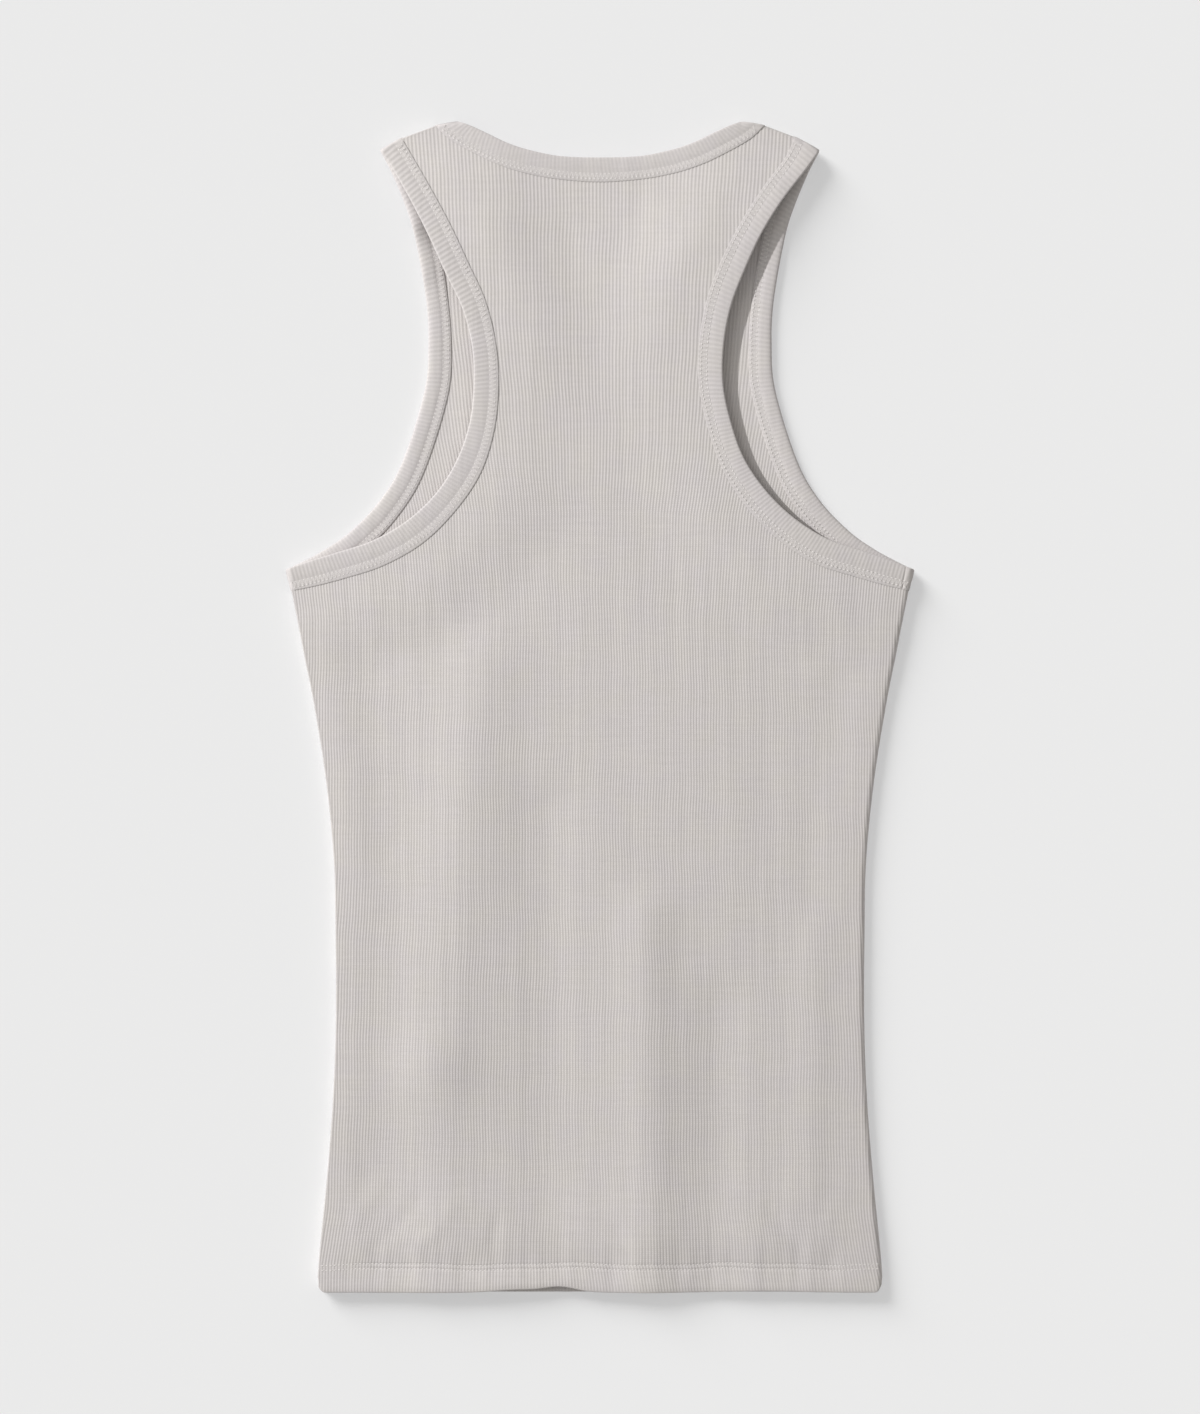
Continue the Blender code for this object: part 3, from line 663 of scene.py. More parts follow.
def add_rib_columns(plan, loop, rows):
    """Lay the knit's columns inside a loop, each from edge to edge with points on the rows."""
    crossings = {}
    ring = []
    corners = [plan.add(point) for point in loop]
    phases = rib_phase(loop[:, 0], loop[:, 1]) * RIB_POINTS
    for i, start in enumerate(loop):
        following = (i + 1) % len(loop)
        end = loop[following]
        span = phases[following] - phases[i]
        length = np.linalg.norm(end - start)
        ring.append(corners[i])
        low, high = sorted((phases[i], phases[following]))
        columns = np.arange(np.ceil(low), np.ceil(high))
        for column in columns if span > 0.0 else columns[::-1]:
            share = (column - phases[i]) / span
            point = start + share * (end - start)
            if share * length < COLUMN_SNAP:
                index = corners[i]
            elif (1.0 - share) * length < COLUMN_SNAP:
                index = corners[following]
            else:
                index = plan.add(point)
                ring.append(index)
            crossings.setdefault(int(column), []).append((point[1], index))
    plan.join(ring + ring[:1])
    for column, hits in crossings.items():
        hits.sort()
        for (low, first), (high, last) in zip(hits[0::2], hits[1::2]):
            ends = [low + step for step in END_STEPS] + [high - step for step in END_STEPS]
            inner = rows[(rows > low + END_STEPS[-1]) & (rows < high - END_STEPS[-1])]
            heights = np.unique(np.concatenate([ends, inner]))
            heights = heights[(heights > low + COLUMN_SNAP) & (heights < high - COLUMN_SNAP)]
            x = rib_x(column / RIB_POINTS, heights)
            points = [plan.add(point) for point in zip(x, heights)]
            plan.join([first] + points + [last])


def add_plain_points(plan, loop):
    """Spread points wide apart over the cloth inside a loop."""
    reach = int(SIDE_CURVE[-1, 1] / PLAIN_STEP)
    x = np.arange(-reach, reach + 1) * PLAIN_STEP
    for y in np.arange(HEM_EDGE + PLAIN_STEP, SHOULDER_Y, PLAIN_STEP):
        row = np.column_stack([x, np.full_like(x, y)])
        for point in row[inside_loop(loop, row)]:
            plan.add(point)


def hem_rounding(side, x, y):
    """How far the hem's faces curve in to meet at its lower edge."""
    past = np.clip(1.0 - (y - hem_edge(side, x)) / HEM_ROLL, 0.0, 1.0)
    return (HEM_KNIT / 2 - HALF_SEAM) * (1.0 - np.sqrt(1.0 - past * past))


def rib_rows(step):
    rows = np.arange(HEM_EDGE + step, SHOULDER_Y, step)
    near = np.linspace(*HEM_ROWS)
    clear = np.abs(rows[:, None] - near).min(axis=1) > ROW_ROOM
    return np.sort(np.concatenate([rows[clear], near]))


def panel_face(side, outline, field, rows, inner):
    """One face of a panel: triangles, plan, points in space, ribs and outward directions."""
    plan = Plan()
    plan.chain(outline, closed=True)
    if rows is None:
        add_plain_points(plan, inset(field, PLAIN_STEP / 2))
    else:
        add_rib_columns(plan, field, rows)
    points, faces = plan.fill(outline)
    x, y = points.T
    rounding = hem_rounding(side, x, y)
    if inner:
        turned_up = y < sum(HEM_NEEDLES) / 2
        lift = rounding - np.where(turned_up, HEM_KNIT, KNIT)
    else:
        lift = -rounding
    space, outward = cloth_points(side, points, lift, True)
    phase = rib_phase(x, y)
    depth = np.zeros(len(points))
    if rows is not None:
        to_edge, _ = nearest(np.vstack([field, field[:1]]), x, y)
        depth = (1.0 - fade(to_edge, RIB_FADE)) * inside_loop(field, points)
    if inner:
        outward = -outward
        phase = phase + 0.5
    return faces.tolist(), points, space, phase, depth, outward


def rim_edges(faces):
    """Edges that only one triangle has, in that triangle's direction."""
    seen = set()
    for a, b, c in faces:
        seen.update(((a, b), (b, c), (c, a)))
    return [(a, b) for a, b in seen if (b, a) not in seen]


def put(tree, kind, inputs, **settings):
    """A node with its inputs set to values or joined to other nodes' outputs."""
    made = tree.nodes.new(kind)
    for key, value in settings.items():
        setattr(made, key, value)
    for key, value in inputs.items():
        if isinstance(value, bpy.types.NodeSocket):
            tree.links.new(value, made.inputs[key])
        else:
            made.inputs[key].default_value = value
    return made


def maths(tree, operation, *inputs):
    node = put(tree, "ShaderNodeMath", dict(enumerate(inputs)), operation=operation)
    return node.outputs[0]


def scaled(tree, vector, scale):
    node = put(tree, "ShaderNodeVectorMath", {0: vector, "Scale": scale}, operation="SCALE")
    return node.outputs["Vector"]


def ridge_of(tree, rib):
    """1 on the ridge of each rib, down to 0 in the valley."""
    wave = maths(tree, "SINE", maths(tree, "MULTIPLY", rib, np.pi))
    return maths(tree, "POWER", maths(tree, "ABSOLUTE", wave), RIDGE_SHARPNESS)


def stored(tree, name, kind="FLOAT"):
    node = put(tree, "GeometryNodeInputNamedAttribute", {"Name": name}, data_type=kind)
    return node.outputs["Attribute"]


def new_tree(name, takes, gives):
    """A Geometry Nodes tree with named inputs, and those inputs."""
    tree = bpy.data.node_groups.new(name, "GeometryNodeTree")
    for label, kind in takes.items():
        tree.interface.new_socket(label, in_out="INPUT", socket_type="NodeSocket" + kind)
    tree.interface.new_socket(gives, in_out="OUTPUT", socket_type="NodeSocketGeometry")
    return tree, put(tree, "NodeGroupInput", {}).outputs


def hand_out(tree, shape, material):
    """The end of a tree: its shape made real and given its material."""
    real = put(tree, "GeometryNodeRealizeInstances", {"Geometry": shape}).outputs["Geometry"]
    dressed = put(tree, "GeometryNodeSetMaterial", {"Geometry": real, "Material": material})
    put(tree, "NodeGroupOutput", {0: dressed.outputs["Geometry"]})
    return tree


def rib_tree():
    """Geometry Nodes that press the valleys of a rib knit into a smooth cloth."""
    takes = {"Cloth": "Geometry", "Rib depth": "Float", "Knit": "Material"}
    tree, given = new_tree("knit_ribs", takes, "Cloth")
    valley = maths(tree, "SUBTRACT", 1.0, ridge_of(tree, stored(tree, "rib_phase")))
    depth = maths(tree, "MULTIPLY", stored(tree, "rib_share"), given["Rib depth"])
    push = maths(tree, "MULTIPLY", maths(tree, "MULTIPLY", valley, depth), -1.0)
    offset = scaled(tree, stored(tree, "outward", "FLOAT_VECTOR"), push)
    moved = put(tree, "GeometryNodeSetPosition", {"Geometry": given["Cloth"], "Offset": offset})
    return hand_out(tree, moved.outputs["Geometry"], given["Knit"])


RIBS = rib_tree()


def run_nodes(item, tree, values):
    """Make an object's Geometry Nodes into a plain mesh."""
    modifier = item.modifiers.new(tree.name, "NODES")
    modifier.node_group = tree
    for socket in tree.interface.items_tree:
        if socket.in_out == "INPUT" and socket.name in values:
            modifier[socket.identifier] = values[socket.name]
    bpy.context.view_layer.update()
    seen = item.evaluated_get(bpy.context.evaluated_depsgraph_get())
    mesh = bpy.data.meshes.new_from_object(seen)
    item.modifiers.remove(modifier)
    item.data = mesh
    mesh.name = item.name


def new_object(name, data):
    item = bpy.data.objects.new(name, data)
    bpy.context.scene.collection.objects.link(item)
    return item


def shade_smooth(mesh):
    mesh.polygons.foreach_set("use_smooth", [True] * len(mesh.polygons))


def knit_cloth(name, points, faces, phase, depth, outward, courses, material, rib_depth):
    """A closed piece of cloth from points in millimetres, with its ribs pressed in."""
    mesh = bpy.data.meshes.new(name)
    mesh.from_pydata((points * MM).tolist(), [], faces)
    mesh.attributes.new("rib_phase", "FLOAT", "POINT").data.foreach_set("value", phase)
    mesh.attributes.new("rib_share", "FLOAT", "POINT").data.foreach_set("value", depth)
    vectors = mesh.attributes.new("outward", "FLOAT_VECTOR", "POINT")
    vectors.data.foreach_set("vector", outward.ravel())
    corners = np.empty(len(mesh.loops), int)
    mesh.loops.foreach_get("vertex_index", corners)
    layout = mesh.uv_layers.new(name="knit")
    places = np.column_stack([phase, courses])[corners]
    layout.data.foreach_set("uv", places.ravel())
    shade_smooth(mesh)
    item = new_object(name, mesh)
    run_nodes(item, RIBS, {"Rib depth": rib_depth * MM, "Knit": material})
    for attribute in ("rib_phase", "rib_share", "outward"):
        item.data.attributes.remove(item.data.attributes[attribute])
    return item


CLOUD = {"Scale": 60.0, "Detail": 5.0}
CLOUD_RANGE = {"From Min": 0.35, "From Max": 0.65}
SLUB_SCALE = (45.0, 750.0, 45.0)
WALE_SCALE = (420.0, 9.0, 420.0)
GRAIN = {"Scale": 900.0, "Detail": 3.0}
# Painted shade in the knit's colour: each rib's valley is darker and its ridge lighter
PAINTED_VALLEY_SHADE = 0.945
PAINTED_RIDGE_LIGHT = 0.09
SLUB_LIGHT = 0.10
WALE_LIGHT = 0.16
GRAIN_LIGHT = 0.12
CHEVRON = 0.5
GRAIN_BUMP = 0.7
BUMP_HEIGHT = 0.00025
KNIT_FINISH = {
    "Roughness": 0.92,
    "Specular IOR Level": 0.2,
    "Sheen Weight": 0.12,
    "Sheen Roughness": 0.5,
}


def new_material(name, finish):
    """A material with its shader's sockets set, as (material, node tree, shader)."""
    material = bpy.data.materials.new(name)
    material.use_nodes = True
    shader = material.node_tree.nodes["Principled BSDF"]
    for socket, value in finish.items():
        shader.inputs[socket].default_value = value
    return material, material.node_tree, shader


def noise(tree, place, settings):
    return put(tree, "ShaderNodeTexNoise", {"Vector": place, **settings}).outputs["Fac"]


def stretched(tree, place, scale):
    """Noise drawn out along one direction of the cloth."""
    mapping = put(tree, "ShaderNodeMapping", {"Vector": place, "Scale": scale})
    return noise(tree, mapping.outputs["Vector"], {"Scale": 1.0})


def there_and_back(tree, value):
    """1 at each whole number, down to 0 halfway between two."""
    share = maths(tree, "FRACT", value)
    return maths(tree, "ABSOLUTE", maths(tree, "MULTIPLY_ADD", share, 2.0, -1.0))


def knit_material(name, warm, cool, course_bump):
    """Cotton rib: painted shade darkens each rib's valley against its ridge, with small loops up
    each rib, slubs and faint tints in the yarn.
    """
    material, tree, shader = new_material(name, KNIT_FINISH)
    layout = put(tree, "ShaderNodeUVMap", {}, uv_map="knit")
    split = put(tree, "ShaderNodeSeparateXYZ", {"Vector": layout.outputs["UV"]})
    rib, course = split.outputs["X"], split.outputs["Y"]
    place = put(tree, "ShaderNodeTexCoord", {}).outputs["Object"]
    tint = put(tree, "ShaderNodeMapRange", {"Value": noise(tree, place, CLOUD), **CLOUD_RANGE})
    tints = {"Factor": tint.outputs["Result"], "A": warm, "B": cool}
    colour = put(tree, "ShaderNodeMix", tints, data_type="RGBA")
    grain = noise(tree, place, GRAIN)
    # Painted shade: the colour is darker in each rib's valley than on its ridge
    light = maths(tree, "MULTIPLY_ADD", ridge_of(tree, rib), PAINTED_RIDGE_LIGHT, PAINTED_VALLEY_SHADE)
    for spots, reach in (
        (stretched(tree, place, SLUB_SCALE), SLUB_LIGHT),
        (stretched(tree, place, WALE_SCALE), WALE_LIGHT),
        (grain, GRAIN_LIGHT),
    ):
        light = maths(tree, "ADD", light, -reach / 2)
        light = maths(tree, "MULTIPLY_ADD", spots, reach, light)
    chevron = maths(tree, "MULTIPLY_ADD", there_and_back(tree, rib), CHEVRON, course)
    fuzz = maths(tree, "MULTIPLY_ADD", grain, GRAIN_BUMP, there_and_back(tree, chevron))
    raised = {"Height": fuzz, "Strength": course_bump, "Distance": BUMP_HEIGHT}
    bump = put(tree, "ShaderNodeBump", raised)
    tree.links.new(scaled(tree, colour.outputs["Result"], light), shader.inputs["Base Color"])
    tree.links.new(bump.outputs["Normal"], shader.inputs["Normal"])
    return material


BODY_KNIT = knit_material("rib_knit", (0.612, 0.580, 0.560, 1.0), (0.605, 0.572, 0.568, 1.0), 0.18)


def panel(name, side, outer_rows, inner_rows):
    """A panel: its ribbed outer face, its inner face and the cut edge between them."""
    outline, field = panel_loops(side)
    outer_faces, *outer = panel_face(side, outline, field, outer_rows, False)
    inner_faces, *inner = panel_face(side, outline, field, inner_rows, True)
    outer_plan, inner_plan = outer[0], inner[0]
    tree = KDTree(len(inner_plan))
    for start, _ in rim_edges(inner_faces):
        tree.insert((*inner_plan[start], 0.0), start)
    tree.balance()
    count = len(outer_plan)
    faces = outer_faces + [[count + i for i in face[::-1]] for face in inner_faces]
    for a, b in rim_edges(outer_faces):
        inner_a = count + tree.find((*outer_plan[a], 0.0))[1]
        inner_b = count + tree.find((*outer_plan[b], 0.0))[1]
        faces.append([b, a, inner_a, inner_b])
    if side == FRONT:
        faces = [face[::-1] for face in faces]
    plan, points, phase, depth, outward = map(np.concatenate, zip(outer, inner))
    return knit_cloth(
        name, points, faces, phase, depth, outward, plan[:, 1] / COURSE, BODY_KNIT, RIB_DEPTH
    )


back_knit = panel("back_knit", BACK, rib_rows(BACK_ROW_STEP), None)
front_knit = panel("front_knit", FRONT, rib_rows(FRONT_ROW_STEP), rib_rows(FRONT_ROW_STEP))

for cloth, node in ((back_knit, "back_panel"), (front_knit, "front_panel")):
    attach(cloth, "root")
    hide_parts(node)

# ----------------------------------------------------------------
# Neck binding and armhole bindings. Each is a strip of the same rib, cut across the ribs, folded
# round the cut edge of both panels and sewn down, so that its ribs run across the band. The neck
# strip is joined at the left shoulder, and the armhole strips are joined under the arms.

BAND_WIDTH = 14.0
BAND = (
    # across (from the free edge), lift, rib
    (13.98, 0.10, 0.0),
    (13.88, 0.24, 0.2),
    (13.50, 0.33, 0.4),
    (12.90, 0.40, 0.5),
    (12.25, 0.44, 0.4),
    (11.50, 0.50, 0.4),
    (10.65, 0.54, 0.4),
    (9.80, 0.54, 0.4),
    (9.05, 0.51, 0.4),
    (8.40, 0.62, 0.6),
    (7.50, 0.78, 0.9),
    (6.20, 0.92, 1.0),
    (4.50, 1.00, 1.0),
    (3.00, 1.03, 1.0),
    (1.80, 1.03, 1.0),
    (0.90, 0.99, 0.8),
    (0.36, 0.84, 0.5),
    (0.08, 0.42, 0.3),
    (0.00, -0.50, 0.3),
    (0.12, -1.10, 0.3),
    (0.45, -1.58, 0.4),
    (1.00, -1.90, 0.8),
    (1.90, -2.12, 0.8),
    (3.20, -2.24, 0.8),
    (6.20, -2.20, 0.8),
    (8.65, -1.90, 0.5),
    (9.05, -1.72, 0.4),
    (10.65, -1.84, 0.4),
    (12.25, -1.68, 0.4),
    (13.20, -1.56, 0.4),
    (13.80, -1.38, 0.2),
    (13.98, -1.24, 0.0),
    (13.98, -1.12, 0.0),
    (2.10, -1.12, 0.0),
    (2.10, 0.12, 0.0),
    (13.98, 0.12, 0.0),
)
BAND_POINTS = 5
BAND_FINENESS = 4
BAND_TOP = 0.3
BAND_UNDERSIDE = -0.6
BAND_RIB_DEPTH = 0.26
BAND_SKEW = 0.05
BAND_JOIN = 4.2
BAND_JOIN_DEPTH = 0.5
BAND_JOIN_REACH = 0.35
# Share of the way from the shoulder, pitch, strength
NECK_RIBS = (
    (0.0, 2.6, 0.45),
    (0.12, 2.3, 0.3),
    (0.3, 2.2, 0.18),
    (0.7, 2.2, 0.18),
    (0.88, 2.3, 0.3),
    (1.0, 2.6, 0.45),
)
ARMHOLE_RIBS = (
    (0.0, 2.9, 0.8),
    (0.35, 2.8, 0.7),
    (0.55, 2.3, 0.45),
    (0.8, 2.1, 0.45),
    (1.0, 2.2, 0.5),
)


def band_stations(curve, ribs):
    """Lengths along a band with a few points to each rib, with the rib count and its strength."""
    length = curve[0][-1]
    shares, pitches, strengths = np.array(ribs).T
    fine = np.linspace(0.0, length, int(length) * BAND_FINENESS)
    ribs_passed = np.diff(fine) / np.interp(fine[1:] / length, shares, pitches)
    count = np.concatenate([[0.0], np.cumsum(ribs_passed)])
    steps = int(np.ceil(count[-1] * BAND_POINTS))
    phases = np.linspace(0.0, count[-1], steps + 1)
    stations = np.interp(phases, count, fine)
    return stations, phases, np.interp(stations / length, shares, strengths)


def band_points(curve, side, hand, stations, across, lift):
    """Points on a band at the given lengths, places across and heights off the panel."""
    free, body = edge_pairs(curve, stations)
    plan = (free + (body - free) * (across / BAND_WIDTH)) * (hand, 1.0)
    return cloth_points(side, plan, lift)


def binding(name, curves, ribs, hand, joined=False):
    """A binding from its seam, along the front edge, over the fold and along the back edge."""
    grid = []
    for across, lift, rib in BAND:
        lines = []
        for side in (FRONT, BACK):
            stations, phases, strengths = band_stations(curves[side], ribs)
            height = np.full_like(stations, min(lift, BINDING_LIFT) if side == FRONT else lift)
            if joined and side == BACK and lift > BAND_TOP:
                seam = curves[side][0][-1] - BAND_JOIN
                height -= BAND_JOIN_DEPTH * np.exp(-((stations - seam) / BAND_JOIN_REACH) ** 2)
            points, outward = band_points(curves[side], side, hand, stations, across, height)
            phase = phases + BAND_SKEW * across
            away = 1.0 if lift > BAND_UNDERSIDE else -1.0
            line = np.column_stack([
                points, outward * away, phase * side, strengths * rib,
                np.full_like(stations, across),
            ])
            lines.append(line if side == BACK else line[::-1])
        grid.append(np.vstack(lines))
    grid = np.array(grid)
    rows, count = grid.shape[:2]
    faces = []
    for row in range(rows):
        below = (row + 1) % rows
        for k in range(count - 1):
            here, under = row * count + k, below * count + k
            faces.append([here, under, under + 1, here + 1])
    section = [Vector((across, lift, 0.0)) for across, lift, _ in BAND]
    for triangle in tessellate_polygon([section]):
        faces.append([k * count for k in triangle])
        faces.append([k * count + count - 1 for k in triangle[::-1]])
    if hand == RIGHT:
        faces = [face[::-1] for face in faces]
    flat = grid.reshape(-1, grid.shape[2])
    points, outward, (phase, depth, across) = flat[:, :3], flat[:, 3:6], flat[:, 6:].T
    return knit_cloth(
        name, points, faces, phase, depth, outward, across / COURSE, BAND_KNIT, BAND_RIB_DEPTH
    )


def armhole_curves(hand):
    return {side: ARMHOLE[side, hand] for side in (BACK, FRONT)}


# The same knit as the panels, its colour painted a little darker as shade to hold down the extra
# light the flatter band catches
BAND_KNIT = knit_material(
    "binding_knit", (0.600, 0.568, 0.553, 1.0), (0.594, 0.561, 0.560, 1.0), 0.08)

neck_band = binding("neck_band", NECK, NECK_RIBS, RIGHT)
armhole_band_right = binding(
    "armhole_band_right", armhole_curves(RIGHT), ARMHOLE_RIBS, RIGHT, joined=True)
armhole_band_left = binding("armhole_band_left", armhole_curves(LEFT), ARMHOLE_RIBS, LEFT)

for band, node in (
    (neck_band, "neck_binding"),
    (armhole_band_right, "armhole_binding_right"),
    (armhole_band_left, "armhole_binding_left"),
):
    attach(band, "root")
    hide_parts(node)

# ----------------------------------------------------------------
# Cover stitching on the bindings. Soft cotton thread in two needle rows, with a thread that runs
# to and fro between them, holds each binding down near its edge on the panel, on both faces.

STITCH = 2.35
NEEDLE_ROW = 1.6
ROWS_MIDDLE = 10.65
ROWS_LIFT = 0.50
INNER_ROWS_LIFT = -1.76
NEEDLE_THREAD = (0.82, 0.30, 0.12)
NEEDLE_SINK = -0.08
COVER_THREAD = 0.10
COVER_PAIR = (-0.09, 0.09)
NEEDLE_PLACES = ((-0.25, -1.0), (0.25, 1.0))
THREAD_BEAD = {"Segments": 6, "Rings": 5, "Radius": MM}
STRAND_SIDES = 5
STITCH_VARIES = {"Min": (0.88, 0.94, 0.85), "Max": (1.06, 1.06, 1.1), "Seed": 7}
TWIST = {"Scale": 2200.0, "Detail": 2.0}
TWIST_BUMP = {"Strength": 0.4, "Distance": 0.0001}
# The thread's colour is lighter than the knit: partly its own tone, partly a painted highlight
# standing in for the thread's sheen
THREAD_FINISH = {
    "Base Color": (0.76, 0.73, 0.715, 1.0),
    "Roughness": 0.85,
    "Specular IOR Level": 0.2,
}
SEAM_ENDS = (3.2, 8.0, 12)  # first, last, count
SEAM_STEP = 2.0


def stitch_unit(tree, two_rows):
    """One stitch: a bead of thread on each needle row, and two pairs of strands between them."""
    bead = put(tree, "GeometryNodeMeshUVSphere", THREAD_BEAD).outputs["Mesh"]
    laid = [
        {
            "Geometry": bead,
            "Translation": (along * STITCH * MM, row * NEEDLE_ROW * MM, NEEDLE_SINK * MM),
            "Scale": NEEDLE_THREAD,
        }
        for along, row in (NEEDLE_PLACES if two_rows else ((0.0, 0.0),))
    ]
    if two_rows:
        reach = NEEDLE_ROW * 2.0
        slant = float(np.arctan2(STITCH / 2, reach))
        depth = float(np.hypot(reach, STITCH / 2)) * MM
        sizes = {"Vertices": STRAND_SIDES, "Radius": COVER_THREAD * MM, "Depth": depth}
        strand = put(tree, "GeometryNodeMeshCylinder", sizes, fill_type="NONE").outputs["Mesh"]
        for start, lean in ((0.0, -slant), (0.5, slant)):
            for pair in COVER_PAIR:
                laid.append({
                    "Geometry": strand,
                    "Translation": ((start + pair) * STITCH * MM, 0.0, 0.0),
                    "Rotation": (np.pi / 2, 0.0, lean),
                })
    unit = put(tree, "GeometryNodeJoinGeometry", {})
    for inputs in laid:
        piece = put(tree, "GeometryNodeTransform", inputs)
        tree.links.new(piece.outputs["Geometry"], unit.inputs["Geometry"])
    return unit.outputs["Geometry"]


def stitch_tree(two_rows):
    """Geometry Nodes that sew even stitches along a seam line."""
    takes = {"Seam": "Geometry", "Stitch length": "Float", "Thread": "Material"}
    tree, given = new_tree("sewing", takes, "Stitches")
    line = put(tree, "GeometryNodeMeshToCurve", {"Mesh": given["Seam"]})
    spacing = {"Curve": line.outputs["Curve"], "Length": given["Stitch length"]}
    even = put(tree, "GeometryNodeResampleCurve", spacing, mode="LENGTH")
    axes = {
        "Primary Axis": put(tree, "GeometryNodeInputTangent", {}).outputs["Tangent"],
        "Secondary Axis": stored(tree, "across", "FLOAT_VECTOR"),
    }
    turn = put(tree, "FunctionNodeAxesToRotation", axes, primary_axis="X", secondary_axis="Y")
    vary = put(tree, "FunctionNodeRandomValue", STITCH_VARIES, data_type="FLOAT_VECTOR")
    sewn = put(
        tree,
        "GeometryNodeInstanceOnPoints",
        {
            "Points": even.outputs["Curve"],
            "Instance": stitch_unit(tree, two_rows),
            "Rotation": turn.outputs["Rotation"],
            "Scale": vary.outputs["Value"],
        },
    )
    return hand_out(tree, sewn.outputs["Instances"], given["Thread"])


def thread_material():
    """Matt cotton thread, its colour lighter than the knit: partly the thread's own tone and
    partly a painted highlight in place of its sheen.
    """
    material, tree, shader = new_material("cotton_thread", THREAD_FINISH)
    place = put(tree, "ShaderNodeTexCoord", {}).outputs["Object"]
    bump = put(tree, "ShaderNodeBump", {"Height": noise(tree, place, TWIST), **TWIST_BUMP})
    tree.links.new(bump.outputs["Normal"], shader.inputs["Normal"])
    return material


THREAD = thread_material()


def seam(lines, name, tree):
    """Stitches along lines of points in millimetres, each with its directions across the seam."""
    points = np.vstack([line[0] for line in lines]) * MM
    across = np.vstack([line[1] for line in lines])
    edges = []
    first = 0
    for line in lines:
        last = first + len(line[0]) - 1
        edges += [(k, k + 1) for k in range(first, last)]
        first = last + 1
    mesh = bpy.data.meshes.new(name)
    mesh.from_pydata(points.tolist(), edges, [])
    vectors = mesh.attributes.new("across", "FLOAT_VECTOR", "POINT")
    vectors.data.foreach_set("vector", across.ravel())
    item = new_object(name, mesh)
    run_nodes(item, tree, {"Stitch length": STITCH * MM, "Thread": THREAD})
    shade_smooth(item.data)
    return item


def band_seam(curve, side, hand, lift):
    """The line midway between a band's two needle rows."""
    length = curve[0][-1]
    near = np.linspace(*SEAM_ENDS)
    away = np.linspace(SEAM_ENDS[1], length - SEAM_ENDS[1], int(length / SEAM_STEP))[1:-1]
    stations = np.concatenate([near, away, (length - near)[::-1]])
    middle, _ = band_points(curve, side, hand, stations, ROWS_MIDDLE, lift)
    beyond, _ = band_points(curve, side, hand, stations, ROWS_MIDDLE + 1.0, lift)
    return middle, beyond - middle


COVER = stitch_tree(True)

neck_lines = [band_seam(NECK[side], side, RIGHT, ROWS_LIFT) for side in (BACK, FRONT)]
neck_stitching = seam(neck_lines, "neck_stitching", COVER)
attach(neck_stitching, "root")

for wearer_side, hand in (("right", RIGHT), ("left", LEFT)):
    lines = [
        band_seam(ARMHOLE[side, hand], side, hand, lift)
        for side, lift in ((BACK, ROWS_LIFT), (FRONT, ROWS_LIFT), (FRONT, INNER_ROWS_LIFT))
    ]
    armhole_stitching = seam(lines, "armhole_stitching_" + wearer_side, COVER)
    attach(armhole_stitching, "root")

# ----------------------------------------------------------------
# Hem stitching. Two straight needle rows of the same cotton thread hold the turned-up hem, pulled
# a little into the knit, on the back and the front.

HEM_STITCH_X = 156.0
HEM_STITCH_POINTS = 201


def hem_rows(side):
    """The two needle rows of a hem, in the cloth's face."""
    lines = []
    x = np.linspace(-HEM_STITCH_X, HEM_STITCH_X, HEM_STITCH_POINTS)
    for needle in HEM_NEEDLES:
        plan = np.column_stack([x, needle + waves(NEEDLE_WAVES, x)])
        points, _ = cloth_points(side, plan, 0.0, True)
        lines.append((points, np.tile((0.0, 1.0, 0.0), (len(x), 1))))
    return lines


STRAIGHT = stitch_tree(False)

for side, cloth, rests_on in ((BACK, back_knit, [front_knit]), (FRONT, front_knit, ["table"])):
    hem_stitching = seam(hem_rows(side), cloth.name.replace("knit", "hem_stitching"), STRAIGHT)
    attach(hem_stitching, "root")

# ----------------------------------------------------------------
# Surface, light and camera: a plain pale table, a studio key from the upper left with a softer
# one beside it, even light from all round, and a long lens straight above.

TABLE_SIZE = 40.0
TABLE_DROP = 0.0003
TABLE_FINISH = {
    "Base Color": (0.8, 0.8, 0.8, 1.0),
    "Roughness": 0.9,
    "Specular IOR Level": 0.1,
}

bpy.ops.mesh.primitive_plane_add(size=TABLE_SIZE, location=(0.0, 0.0, -TABLE_DROP))
table = bpy.context.object
table.name = "table"
table.data.materials.append(new_material("table_paint", TABLE_FINISH)[0])

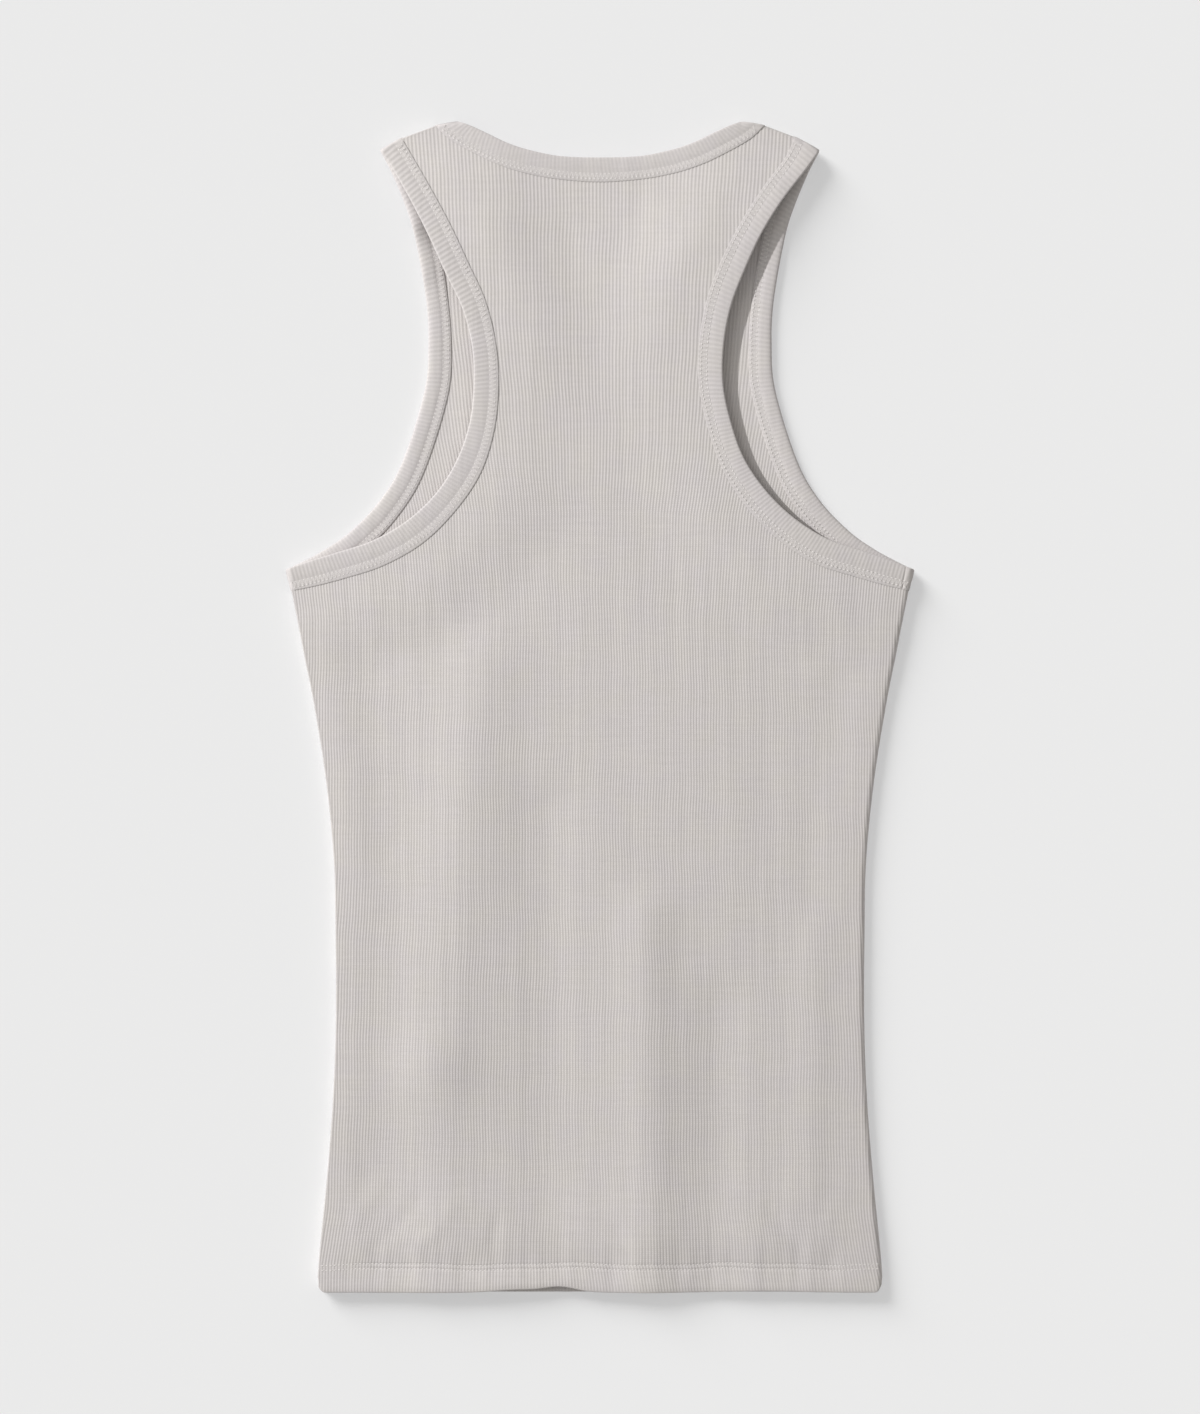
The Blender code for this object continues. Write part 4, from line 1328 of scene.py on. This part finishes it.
LAMP_REACH = 3.2
CLOTH_LAMP_FROM = Vector((-0.894, 0.447, 0.625))
SOFT_LAMP_FROM = Vector((-0.62, 0.31, 0.62))
FLOOR_LAMP_FROM = Vector((-0.68, 0.73, 0.36))
ABOVE = Vector((0.0, 0.0, 1.0))
COOL_WHITE = (1.0, 1.015, 1.05)


def group(name, things):
    """A set of things that a lamp is kept to."""
    chosen = bpy.data.collections.new(name)
    for thing in things:
        chosen.objects.link(thing)
    return chosen


def lamp(name, kind, power, size, toward, lights, shadows=None, colour=(1.0, 1.0, 1.0)):
    """A lamp that lights one set of things, and casts the shadows of one set or of everything."""
    light = bpy.data.lights.new(name, kind)
    light.energy = power
    light.color = colour
    if kind == "SUN":
        light.angle = np.radians(size)
    else:
        light.shape = "DISK"
        light.size = size
    item = new_object(name, light)
    item.location = toward.normalized() * LAMP_REACH
    item.rotation_mode = "QUATERNION"
    item.rotation_quaternion = toward.to_track_quat("Z", "Y")
    item.light_linking.receiver_collection = lights
    item.light_linking.blocker_collection = shadows


scene = bpy.context.scene
garment = group("garment", [item for item in scene.objects if item is not table])
floor = group("floor", [table])
lamp("key", "AREA", power=92.5, size=0.09, toward=CLOTH_LAMP_FROM, lights=garment)
lamp("soft_key", "AREA", power=18.0, size=2.0, toward=SOFT_LAMP_FROM, lights=garment)
lamp("floor_key", "SUN", power=2.86, size=30.0, toward=FLOOR_LAMP_FROM, lights=floor)
lamp("floor_fill", "SUN", 1.04, 5.0, ABOVE, lights=floor, shadows=floor, colour=COOL_WHITE)

room = bpy.data.worlds.new("studio")
room.use_nodes = True
even_light = room.node_tree.nodes["Background"].inputs
even_light["Color"].default_value = (1.0, 0.985, 0.95, 1.0)
even_light["Strength"].default_value = 0.39
scene.world = room
scene.view_settings.view_transform = "Standard"

LENS = 100.0
SENSOR = 36.0
VIEW_HEIGHT = 0.7954
CLOTH_TOP = 0.005
lens = bpy.data.cameras.new("camera")
lens.lens = LENS
lens.sensor_width = SENSOR
camera = new_object("camera", lens)
camera.location = (0.0, 0.0, VIEW_HEIGHT * LENS / SENSOR + CLOTH_TOP)
scene.camera = camera

bpy.context.view_layer.update()
